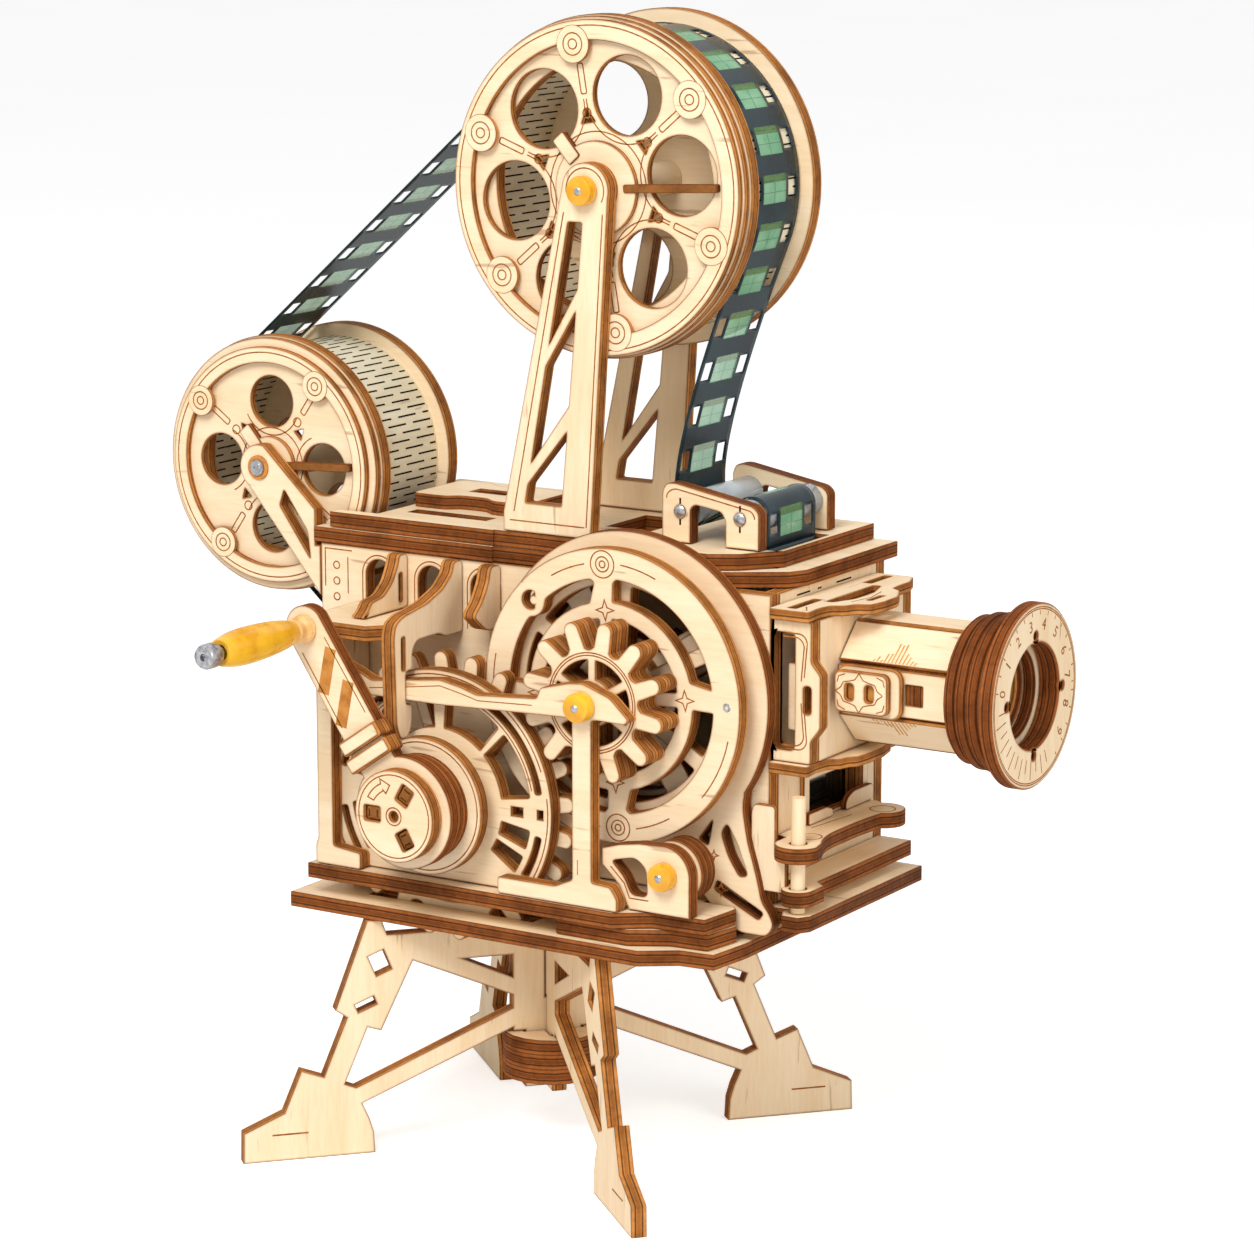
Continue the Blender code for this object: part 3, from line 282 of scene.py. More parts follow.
singe = t.times(t.math("POWER", given["Char"], 1.6), t.plus(t.times(smoke, 0.6), 0.4))
wood = t.mix(singe, wood, given["Burnt"])
t.feed(out["Color"], wood)
t.feed(out["Roughness"], t.plus(t.times(fibre, 0.2), 0.42))
t.feed(out["Height"], t.times(fibre, 0.5))
print("group", face_group.name)

# %% [markdown]
# A laser-cut edge shows the plies: two pale face plies, a darker core and the thin glue lines
# between them, all toasted brown. The `ply` attribute counts sheets through the thickness, so
# its fraction says which ply a point of the edge is in. Fine streaks run along the beam.

# %% Node group: a scorched edge
edge_group, t, given, out = new_group(
    "scorched_edge",
    [("Place", VECTOR, None), ("Ply", FLOAT, 0.0), ("Light", COLOUR, colour(204, 136, 70)),
     ("Dark", COLOUR, colour(66, 30, 11)), ("Core", COLOUR, colour(136, 76, 32))],
    [("Color", COLOUR), ("Roughness", FLOAT), ("Height", FLOAT)])
wander = t.times(t.minus(t.noise(given["Place"], 60.0, 2.0), 0.5), 0.10)
part = t.math("FRACT", t.plus(given["Ply"], t.plus(wander, 100.0)))
middle = t.math("ABSOLUTE", t.minus(part, 0.5))
core = t.minus(1.0, t.ramp(middle, 0.10, 0.16))
glue = t.minus(1.0, t.ramp(t.math("ABSOLUTE", t.minus(middle, 0.22)), 0.03, 0.08))
rim = t.ramp(middle, 0.42, 0.50)
streak = t.noise(given["Place"], 700.0, 4.0, 0.6)
patch = t.noise(given["Place"], 70.0, 3.0, 0.6)
edge = t.mix(t.times(core, 0.65), given["Light"], given["Core"])
edge = t.mix(t.times(glue, 0.8), edge, given["Dark"])
edge = t.mix(t.times(rim, 0.6), edge, given["Dark"])
edge = t.mix(t.times(t.ramp(patch, 0.38, 0.72), 0.55), edge, given["Dark"])
edge = t.mix(t.times(t.ramp(streak, 0.4, 0.8), 0.35), edge, given["Dark"])
t.feed(out["Color"], edge)
t.feed(out["Roughness"], t.plus(t.times(streak, 0.3), 0.5))
t.feed(out["Height"], t.plus(streak, t.times(glue, -0.6)))
print("group", edge_group.name)

# %% [markdown]
# A material places a group, gives it its own values and feeds a Principled shader. The grain of
# a sheet runs one way, so the face material is made once for each direction.

# %% Wood materials


def principled(name, base=(0.8, 0.8, 0.8, 1.0), **values):
    """A new material, its tree and its Principled shader with some sockets set."""
    made = bpy.data.materials.new(name)
    made.use_nodes = True
    shader = made.node_tree.nodes["Principled BSDF"]
    shader.inputs["Base Color"].default_value = base
    for socket, value in values.items():
        shader.inputs[socket.replace("_", " ")].default_value = value
    return made, Tree(made.node_tree), shader


def bumped(t, shader, height, strength, distance):
    bump = t.add("ShaderNodeBump", {"Height": height, "Strength": strength, "Distance": distance})
    t.feed(shader.inputs["Normal"], bump.outputs["Normal"])


def wood_material(name, group, scale, strength, distance, gloss=0.3, **colours):
    """Object coordinates, stretched along the grain, feed the group and the group feeds the shader.

    Burnt wood is matt, so its specular level is far below that of a clean face.
    """
    made, t, shader = principled(name, IOR=1.45, Specular_IOR_Level=gloss)
    inputs = {"Place": t.stretch(t.here(), scale)}
    for socket in ("Char", "Ply"):
        if socket in group.interface.items_tree.keys():
            inputs[socket] = t.stored(socket.lower())
    placed = t.add("ShaderNodeGroup", node_tree=group)
    for socket, value in {**inputs, **colours}.items():
        t.feed(placed.inputs[socket], value)
    t.feed(shader.inputs["Base Color"], placed.outputs["Color"])
    t.feed(shader.inputs["Roughness"], placed.outputs["Roughness"])
    bumped(t, shader, placed.outputs["Height"], strength, distance)
    return made


LONG = 0.11
MATT = 0.08
FACE_X = wood_material("birch_grain_x", face_group, (LONG, 1, 1), 0.25, 0.0003)
FACE_Y = wood_material("birch_grain_y", face_group, (1, LONG, 1), 0.25, 0.0003)
FACE_Z = wood_material("birch_grain_z", face_group, (1, 1, LONG), 0.25, 0.0003)
EDGE = wood_material("birch_edge", edge_group, (1, 1, 1), 0.3, 0.0003, MATT)
DARK_EDGE = wood_material("birch_edge_dark", edge_group, (1, 1, 1), 0.3, 0.0003, MATT,
                          Light=colour(158, 92, 44), Core=colour(98, 50, 20), Dark=colour(50, 22, 8))
HOOD_EDGE = wood_material("hood_edge", edge_group, (1, 1, 1), 0.35, 0.0004, MATT,
                          Light=colour(156, 88, 42), Core=colour(112, 58, 24), Dark=colour(54, 25, 10))
WALL_WOOD = wood_material("birch_bent", face_group, (1, LONG, 1), 0.2, 0.0003,
                          Pale=colour(236, 226, 198), Deep=colour(206, 188, 150))
FACES = {"x": FACE_X, "y": FACE_Y, "z": FACE_Z}
print("wood:", [material.name for material in (*FACES.values(), EDGE, DARK_EDGE)])

# %% [markdown]
# The laser's lines on the faces, the yellow caps, the steel pins, the clear rollers and the dark
# pane each get their own finish. None is one flat colour: even clean plastic has a soft clouding
# of its gloss and a fine unevenness.

# %% Other materials


def varied(name, dark, light, scale, roughness, spread, bump=0.0, **values):
    """A finish that drifts between two close colours and two close degrees of gloss."""
    made, t, shader = principled(name, **values)
    cloud = t.noise(t.here(), scale, 4.0, 0.6)
    t.feed(shader.inputs["Base Color"], t.mix(t.ramp(cloud, 0.3, 0.7), dark, light))
    t.feed(shader.inputs["Roughness"], t.plus(t.times(cloud, spread), roughness))
    if bump:
        bumped(t, shader, cloud, bump, 0.0002)
    return made




# A matt finish: burnt lines, and also the near-black of painted shade.
def burnt(name, dark, light, scale, roughness=0.6):
    return varied(name, dark, light, scale, roughness, 0.2, Specular_IOR_Level=MATT)


LINE = burnt("engraved_line", colour(128, 70, 26), colour(176, 110, 52), 600.0)
YELLOW = varied("yellow_plastic", colour(222, 150, 8), colour(246, 184, 28), 120.0, 0.22, 0.12, 0.05,
                Subsurface_Weight=0.08, Coat_Weight=0.3)
STEEL = varied("steel", colour(150, 150, 152), colour(200, 200, 204), 900.0, 0.2, 0.2, 0.1, Metallic=1.0)
CLEAR = varied("clear_tube", colour(196, 204, 206), colour(232, 238, 240), 60.0, 0.08, 0.1,
               Transmission_Weight=0.55, IOR=1.45)
GLASS = varied("dark_pane", colour(10, 16, 13), colour(24, 32, 26), 30.0, 0.05, 0.06, Coat_Weight=0.6)
LENS_GLASS = varied("lens_glass", colour(150, 160, 160), colour(190, 200, 200), 40.0, 0.03, 0.04,
                    Transmission_Weight=0.9, IOR=1.5)
YELLOW_WOOD = varied("ferrule_wood", colour(214, 160, 92), colour(236, 190, 126), 300.0, 0.4, 0.2, 0.1)
BROWN_BAND = burnt("brown_band", colour(166, 104, 44), colour(206, 142, 72), 160.0)
TOAST = burnt("toasted_line", colour(196, 130, 62), colour(220, 160, 90), 300.0)
# Painted shade: a near-black for slits, slots and the hood's bore, which look dark only from the shade inside.
PAINTED_SHADE = burnt("painted_shade_dark", colour(24, 14, 9), colour(40, 25, 16), 200.0, 0.7)
print("other finishes ready")

# %% [markdown]
# The film's base is dark and glossy. In each picture's place it is thinner and green, and light
# comes through. Two stored numbers say where a point is: `run` counts pictures along the strip,
# and `across` goes from 0 to 1 over its width. The pictures are only bars and thin lines.

# %% Film material
FILM, t, shader = principled("film", IOR=1.45, Specular_IOR_Level=0.3)
over = t.stored("across")
step = t.math("FRACT", t.stored("run"))


def band(value, low, high, soft=0.012):
    """1 between two limits and 0 outside them, with soft ends."""
    rise = t.ramp(value, low - soft, low + soft)
    fall = t.ramp(value, high - soft, high + soft)
    return t.minus(rise, fall)


picture = t.times(band(step, 0.21, 0.79), band(over, 0.28, 0.72))
side_bar = band(step, 0.21, 0.36)
hatch = t.math("GREATER_THAN", t.math("FRACT", t.times(over, 34.0)), 0.62)
upright = t.times(band(over, 0.49, 0.505, 0.003), band(step, 0.36, 0.79))
thin = t.math("MAXIMUM", band(step, 0.56, 0.575, 0.004), upright)
cloud = t.noise(t.here(), 60.0, 3.0, 0.6)
mint = t.mix(t.ramp(cloud, 0.3, 0.7), colour(120, 186, 140), colour(160, 212, 172))
mint = t.mix(side_bar, mint, t.mix(t.times(hatch, 0.6), colour(104, 146, 84), colour(58, 92, 50)))
mint = t.mix(t.times(thin, 0.7), mint, colour(60, 100, 74))
base = t.mix(t.ramp(cloud, 0.3, 0.7), colour(14, 30, 35), colour(26, 48, 54))
t.feed(shader.inputs["Base Color"], t.mix(picture, base, mint))
t.feed(shader.inputs["Alpha"], t.minus(1.0, t.times(picture, 0.42)))
t.feed(shader.inputs["Roughness"], t.plus(t.times(cloud, 0.12), 0.22))
print("film material ready")

# %% [markdown]
# Every sheet is cut the same way. Its faces are inset twice: once by a hair, and the cut edge is
# pushed in by as much, which breaks the sharp corner as the laser does, and once more for the
# golden rim. Two numbers are stored on every corner: `char` for the rim and `ply` for the depth.

# %% Break and scorch the edges of a sheet
AXES = dict(zip("xyz", np.eye(3)))
CHAMFER = 0.16
HALO = 0.6
SHARP = math.radians(34)


def squarely(face, axis):
    """How far a face looks along an axis, from -1 to 1."""
    return float(np.dot(face.normal, axis))


def is_flat(face, axis):
    return abs(squarely(face, axis)) > 0.98


def scorch(shape, axis, chamfer=CHAMFER, halo=HALO):
    """Inset the flat faces square to the axis; returns the rings that belong to the edge.

    A corner on the cut moves towards the sheet's middle plane by the chamfer, so the hairline
    ring slopes at 45 degrees.
    """
    caps = [face for face in shape.faces if is_flat(face, axis)]
    chamfers, sign = set(), {}
    if chamfer:
        ring = bmesh.ops.inset_region(shape, faces=caps, thickness=chamfer, use_boundary=True,
                                      use_even_offset=True)["faces"]
        inner = {vert for face in caps for vert in face.verts}
        for face in ring:
            up = squarely(face, axis) > 0
            sign.update({vert: up for vert in face.verts if vert not in inner})
        for vert, up in sign.items():
            shift = axis * chamfer * (-1.0 if up else 1.0)
            vert.co = [a + b for a, b in zip(vert.co, shift)]
        chamfers = set(ring)
    bmesh.ops.inset_region(shape, faces=caps, thickness=halo, use_boundary=True, use_even_offset=True)
    plain = {vert for face in caps for vert in face.verts}
    return caps, chamfers, plain


def to_object(name, shape, axis, low, materials, caps, chamfers, plain):
    """Write the bmesh out as an object in metres, with its two attributes and materials."""
    shape.verts.index_update()
    for face in shape.faces:
        face.material_index = 0 if is_flat(face, axis) and face not in chamfers else 1
        face.smooth = True
    inside = np.array([vert in plain for vert in shape.verts])
    mesh = bpy.data.meshes.new(name)
    shape.to_mesh(mesh)
    shape.free()
    corners = points_of(mesh)
    store(mesh, "char", 1.0 - inside)
    store(mesh, "ply", (corners @ axis - low) / SHEET)
    write_points(mesh, corners)
    mesh.set_sharp_from_angle(angle=SHARP)
    for material in materials:
        mesh.materials.append(material)
    return add_object(name, mesh)


def belongs(piece, body, slot, *nodes):
    """Let a finished piece move with its body, and hide the CAD nodes that it stands for."""
    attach(piece, body)
    if nodes:
        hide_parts(*nodes)
    return piece


print("sheet helpers ready")

# %% [markdown]
# Curved pieces need finer outlines than the CAD model's. An outline is an array of points in the
# sheet's own plane: whole circles, parts of circles, bars and listed corners that are
# softened. Each of these is one formula over whole arrays.

# %% Outlines in a sheet's plane


def spot(radius, degrees, centre=(0.0, 0.0)):
    """Points at a radius and an angle from a centre: centre + radius times (cosine, sine)."""
    angle = np.radians(degrees)
    return np.stack([centre[0] + radius * np.cos(angle), centre[1] + radius * np.sin(angle)], axis=-1)


def curve(radius, start, end, centre=(0.0, 0.0), step=4.0):
    """Part of a circle, both ends included, with a point every few degrees."""
    return spot(radius, np.linspace(start, end, max(2, int(abs(end - start) / step) + 2)), centre)


def ring(radius, centre=(0.0, 0.0)):
    """A whole circle; big ones get up to 112 corners."""
    count = int(np.clip(20 + radius * 2.4, 20, 112))
    return spot(radius, np.arange(count) * 360.0 / count, centre)


def turned(points, degrees, centre=(0.0, 0.0)):
    """Points turned about their own origin and then moved to a centre."""
    c, s = math.cos(math.radians(degrees)), math.sin(math.radians(degrees))
    return np.asarray(points, float) @ np.array([[c, s], [-s, c]]) + centre


def bar(long, wide, centre=(0.0, 0.0), degrees=0.0):
    corners = np.array([[-1, -1], [1, -1], [1, 1], [-1, 1]]) * [long / 2, wide / 2]
    return turned(corners, degrees, centre)


def soften(points, radius, steps=4):
    """Each corner becomes a quadratic curve from `radius` before it to `radius` past it.

    With t from 0 to 1 the curve is (1 - t)^2 start + 2 t (1 - t) corner + t^2 end, and a short side
    limits the radius.
    """
    points = np.asarray(points, float)
    back, ahead = np.roll(points, 1, 0) - points, np.roll(points, -1, 0) - points
    long_back = np.linalg.norm(back, axis=1, keepdims=True)
    long_ahead = np.linalg.norm(ahead, axis=1, keepdims=True)
    reach = np.minimum(radius, np.minimum(long_back, long_ahead) / 2.2)
    start, end = points + back / long_back * reach, points + ahead / long_ahead * reach
    t = np.linspace(0.0, 1.0, steps + 1)[None, :, None]
    rounded = (1 - t) ** 2 * start[:, None] + 2 * t * (1 - t) * points[:, None] + t ** 2 * end[:, None]
    return rounded.reshape(-1, 2)


def window(inner, outer, start, end, step=4.0):
    """The area between two radii and two angles."""
    return np.concatenate([curve(inner, start, end, step=step), curve(outer, end, start, step=step)])


def spoke_windows(inner, outer, spokes, wide, first=0.0, step=4.0):
    """Openings between straight spokes: each end of an arc stops half a spoke short."""
    low = math.degrees(math.asin(wide / 2 / inner))
    high = math.degrees(math.asin(wide / 2 / outer))
    share = 360.0 / spokes
    return [np.concatenate([curve(inner, start + low, start + share - low, step=step),
                            curve(outer, start + share - high, start + high, step=step)])
            for start in first + share * np.arange(spokes)]


def shut(points):
    """The same outline with its first point repeated, as a closed line."""
    return np.concatenate([points, points[:1]])


print("outline helpers ready;", len(ring(44.0)), "corners on a big circle")

# %% [markdown]
# A new sheet is cut as the laser cuts it: the outline and its holes are filled with triangles, the
# fill is pushed through the thickness, and the edges are then broken and scorched.

# %% Cut a new sheet


def stand(points, plane, depth):
    """Points of a sheet's own plane at a depth square to it, as x, y, z."""
    u, v = np.asarray(points, float).T
    depth = np.full(len(u), float(depth))
    return np.stack({"x": (depth, u, v), "y": (u, depth, v), "z": (u, v, depth)}[plane], axis=1)


GRAIN = {"x": "z", "y": "x", "z": "x"}


def cut_sheet(name, plane, low, outline, holes=(), centre=(0.0, 0.0), thick=SHEET, grain=None,
              edge=EDGE, chamfer=CHAMFER, halo=HALO):
    """A sheet between low and low + thick along its plane's axis, with scorched edges."""
    shape = bmesh.new()
    edges = []
    for line in (outline, *holes):
        corners = [shape.verts.new(point) for point in stand(np.asarray(line) + centre, plane, low)]
        edges += [shape.edges.new(pair) for pair in zip(corners, corners[1:] + corners[:1])]
    bmesh.ops.triangle_fill(shape, edges=edges, use_beauty=True, use_dissolve=False, normal=AXES[plane])
    lifted = bmesh.ops.extrude_face_region(shape, geom=shape.faces[:])["geom"]
    bmesh.ops.translate(shape, verts=[item for item in lifted if isinstance(item, bmesh.types.BMVert)],
                        vec=AXES[plane] * thick)
    bmesh.ops.recalc_face_normals(shape, faces=shape.faces[:])
    parts = scorch(shape, AXES[plane], chamfer, halo)
    return to_object(name, shape, AXES[plane], low, [FACES[grain or GRAIN[plane]], edge], *parts)


def fit(node, pieces):
    """Pieces that stand for a CAD node: they ride on its body, and the node is hidden."""
    for piece in pieces:
        belongs(piece, BODY_OF[node], SLOT_OF[node], node)


def fit_sheet(node, *where, **looks):
    """One new sheet that stands for a CAD node; the rest is said as for `cut_sheet`."""
    fit(node, [cut_sheet(node + "_cut", *where, **looks)])


print("sheet cutter ready")

# %% [markdown]
# Everything that isn't a flat sheet is a skin over a grid of points: turned caps and tubes, drums
# and burnt lines. A grid is worked out as one array, and the same few lines turn any grid into a
# closed mesh whose faces point out.

# %% Skins and turned pieces


def skin(name, points, faces, material, **stored):
    """A closed mesh from points in millimetres; poles are merged and normals turned outwards."""
    mesh = bpy.data.meshes.new(name)
    mesh.from_pydata(((np.asarray(points) + OFFSET) * MM).tolist(), [], np.asarray(faces).tolist())
    for label, values in stored.items():
        store(mesh, label, values)
    shape = bmesh.new()
    shape.from_mesh(mesh)
    bmesh.ops.remove_doubles(shape, verts=shape.verts[:], dist=0.0000005)
    bmesh.ops.recalc_face_normals(shape, faces=shape.faces[:])
    shape.to_mesh(mesh)
    shape.free()
    mesh.shade_smooth()
    mesh.set_sharp_from_angle(angle=SHARP)
    mesh.materials.append(material)
    return add_object(name, mesh)


def grid_faces(rows, columns, wrap_rows=False):
    """Quads of a grid whose columns close round; rows close too for a ring-shaped profile."""
    row = np.arange(rows if wrap_rows else rows - 1)[:, None]
    column = np.arange(columns)[None, :]
    below, right = (row + 1) % rows, (column + 1) % columns
    corners = [row * columns + column, row * columns + right,
               below * columns + right, below * columns + column]
    return np.stack(corners, axis=-1).reshape(-1, 4)


def rod(radius, low, high):
    """The profile of a plain round rod."""
    return [(0.0, low), (radius, low), (radius, high), (0.0, high)]


def tube(inner, outer, low, high):
    """The profile of a plain tube, closed on itself."""
    return [(inner, low), (outer, low), (outer, high), (inner, high), (inner, low)]


def turn(name, axis, centre, profile, material, steps=40):
    """A turned piece: (radius, along) pairs carried round an axis, radius times (cos, sin).

    The profile starts and ends on the axis, or it closes on itself and makes a ring.
    """
    profile = np.asarray(profile, float)
    closed = bool(np.allclose(profile[0], profile[-1]))
    profile = profile[:-1] if closed else profile
    angle = np.arange(steps) * math.tau / steps
    across = centre + profile[:, :1, None] * np.stack([np.cos(angle), np.sin(angle)], axis=1)[None]
    along = np.broadcast_to(profile[:, 1:], across.shape[:2])
    u, v = across[..., 0], across[..., 1]
    order = {"x": (along, u, v), "y": (u, along, v), "z": (u, v, along)}[axis]
    points = np.stack(order, axis=-1).reshape(-1, 3)
    return skin(name, points, grid_faces(len(profile), steps, closed), material,
                ply=np.repeat(profile[:, 1] / SHEET, steps))


print("skins ready")

# %% [markdown]
# The laser also draws: it burns thin brown lines into the faces. Each line is a thin closed bar,
# mostly sunk into the sheet, with its top a hair above the face, so it can be seen from any side.
# In near-black, the same bars are painted shade in a few slots.

# %% Burnt lines and bars of painted shade
LINE_WIDE = 0.36
LINE_PROUD = 0.035
LINE_DEEP = 0.12


def unit(vectors):
    return vectors / np.linalg.norm(vectors, axis=1, keepdims=True)


def burn(name, plane, face, facing, strokes, node, wide=LINE_WIDE, material=LINE):
    """Lines on a face at a depth; `facing` is the side that it looks to, -1 or 1.

    Each point is pushed to both sides by half the width, along the mean of its two segments'
    normals, divided by the cosine of half the bend. Four rings of points make a bar.
    """
    corners, faces, start = [], [], 0
    for stroke in strokes:
        points = np.asarray(stroke, float)
        closed = bool(np.allclose(points[0], points[-1]))
        points = points[:-1] if closed else points
        arrive, leave = points - np.roll(points, 1, 0), np.roll(points, -1, 0) - points
        if not closed:
            arrive[0], leave[-1] = leave[0], arrive[-1]
        mean = unit(unit(arrive) + unit(leave))
        half = wide / 2 / np.maximum(0.4, (mean * unit(arrive)).sum(axis=1, keepdims=True))
        side = np.stack([-mean[:, 1], mean[:, 0]], axis=1) * half
        top, sunk = face + facing * LINE_PROUD, face - facing * LINE_DEEP
        four = [stand(points + side, plane, top), stand(points - side, plane, top),
                stand(points - side, plane, sunk), stand(points + side, plane, sunk)]
        corners.append(np.stack(four, axis=1).reshape(-1, 3))
        count = len(points)
        quads = grid_faces(count, 4, wrap_rows=closed)
        if not closed:
            last = 4 * count - 1
            quads = np.concatenate([quads, [[0, 1, 2, 3], [last, last - 1, last - 2, last - 3]]])
        faces.append(quads + start)
        start += 4 * count
    piece = skin(name, np.concatenate(corners), np.concatenate(faces), material)
    return belongs(piece, BODY_OF[node], SLOT_OF[node])


print("burnt lines ready")

# %% [markdown]
# Yellow plastic caps hold the wheels on their steel pins. A cap is a turned button with a soft
# rim, and the pin's end shows in its middle.

# %% Caps, pins and screws


def cap(name, centre, near, node, radius=3.9, thick=3.2):
    """A yellow button whose near face is at y = near, with the end of a steel pin in it."""
    far = near + thick
    button = [(0.0, near), (radius - 0.8, near), (radius - 0.25, near + 0.22), (radius, near + 0.8),
              (radius, far), (0.0, far)]
    pin = [(0.0, near - 0.35), (0.75, near - 0.3), (1.05, near - 0.05), (1.05, near + 1.0),
           (0.0, near + 1.0)]
    belongs(turn(name + "_cap", "y", centre, button, YELLOW, 48), BODY_OF[node], "yellow_plastic")
    belongs(turn(name + "_pin", "y", centre, pin, STEEL, 24), BODY_OF[node], "steel")


def screw(name, centre, near, node, radius=1.6):
    """A small steel screw: a domed head with a round drive recess."""
    head = [(0.0, near - 0.05), (radius * 0.36, near - 0.1), (radius * 0.4, near - 0.42),
            (radius * 0.8, near - 0.35), (radius, near), (radius, near + 0.6), (0.0, near + 0.6)]
    belongs(turn(name, "y", centre, head, STEEL, 28), BODY_OF[node], "steel")


print("caps and screws ready")

# %% [markdown]
# Straight-sided sheets already have the right outline in the CAD model. Each is copied, its loose
# triangles are merged into one skin, and the copy gets scorched edges and a grain direction.

# %% Dress the straight CAD sheets


def dress(node, axis, grain, edge=EDGE, halo=HALO, chamfer=CHAMFER):
    """A merged copy of a CAD node with broken, scorched edges, in place of the node."""
    direction = AXES[axis] if isinstance(axis, str) else axis
    shape = bmesh.new()
    shape.from_mesh(frame["nodes"][node].data)
    bmesh.ops.remove_doubles(shape, verts=shape.verts[:], dist=0.000002)
    for vert in shape.verts:
        vert.co = [a / MM - b for a, b in zip(vert.co, OFFSET)]
    shape.normal_update()
    low = min(float(np.dot(vert.co, direction)) for vert in shape.verts)
    parts = scorch(shape, direction, chamfer, halo)
    fit(node, [to_object(node + "_cut", shape, direction, low, [FACES[grain], edge], *parts)])


LEG_TURN = math.radians(48.0)
LEG_AXES = {"leg_frame_front": np.array([-math.sin(LEG_TURN), math.cos(LEG_TURN), 0.0]),
            "leg_frame_side": np.array([math.cos(LEG_TURN), math.sin(LEG_TURN), 0.0])}
for node, axis in LEG_AXES.items():
    dress(node, axis, "z")
for node in ("deck_lower_sheet", "deck_middle_sheet", "deck_top_sheet", "roof_lower_sheet"):
    dress(node, "z", "x", edge=DARK_EDGE)
dress("roof_upper_sheet", "z", "x", edge=DARK_EDGE, chamfer=0.0, halo=0.5)
dress("stand_collar", "z", "x", edge=DARK_EDGE)
for node in ("far_wall", "film_sprocket", "barrel_shutter"):
    dress(node, "y", "x")
for node in ("rear_wall", "left_cheek"):
    dress(node, "x", "z")
dress("crank_shelf", "z", "x")
dress("lamp_holder", "x", "z", chamfer=0.0, halo=0.4)
print("straight sheets dressed")

# %% [markdown]
# ## The reels
# A reel is a stack: a face sheet with round holes, a raised rim that swells round each boss, a hub
# disc, two sticks that pinch the film's end, a ring sheet, the bent drum wall with its rows of
# slits, and the far disc. Both reels share the design, so one function makes them.

# %% Reels


def rim_line(inner, bosses, boss_r, boss_at, first):
    """The raised rim's inner edge: an arc, then a swell round the next boss, and so on."""
    half = math.degrees(math.asin(boss_r * 0.98 / inner))
    share = 360.0 / bosses
    parts = []
    for k in range(bosses):
        angle = first + k * share
        parts.append(turned(spot(boss_r, np.linspace(245, 115, 14), (boss_at, 0.0)), angle))
        parts.append(curve(inner, angle + half + 0.6, angle + share - half - 0.6, step=3.0))
    return np.concatenate(parts)


def slit_wall(name, centre, inner, outer, near, far, node, long=8.4, between=3.4, rows_apart=2.2):
    """Painted shade in the slits through a drum wall: a near-black box bent to the wall at each place of a brick
    pattern.

    A corner of a box is (radius, angle, y); the radius is just inside or outside the wall, and
    every second row is shifted by half a period along y.
    """
    rows = 2 * int(math.pi * outer / rows_apart)
    period = long + between
    angle = np.arange(rows) * math.tau / rows
    starts = near + 1.0 + np.arange(-1, int((far - near) / period) + 1) * period
    y0 = starts[None, :] + np.where(np.arange(rows) % 2, period / 2, 0.0)[:, None]
    y1 = np.minimum(y0 + long, far - 0.8)
    y0 = np.maximum(y0, near + 0.8)
    angle = np.broadcast_to(angle[:, None], y0.shape)
    keep = y1 - y0 > 1.2
    angle, y0, y1 = angle[keep], y0[keep], y1[keep]
    half = 0.24 / outer
    radius = np.array([inner - 0.04, outer + 0.04])
    turns = np.stack([angle - half, angle + half], axis=1)
    ends = np.stack([y0, y1], axis=1)
    r, a, y = np.broadcast_arrays(radius[None, :, None, None], turns[:, None, :, None],
                                  ends[:, None, None, :])
    points = np.stack([centre[0] + r * np.cos(a), y, centre[1] + r * np.sin(a)], axis=-1)
    box = np.array([[0, 1, 3, 2], [4, 6, 7, 5], [0, 4, 5, 1], [2, 3, 7, 6], [0, 2, 6, 4], [1, 5, 7, 3]])
    faces = (np.arange(len(angle))[:, None, None] * 8 + box[None]).reshape(-1, 4)
    belongs(skin(name, points.reshape(-1, 3), faces, PAINTED_SHADE), BODY_OF[node], SLOT_OF[node])


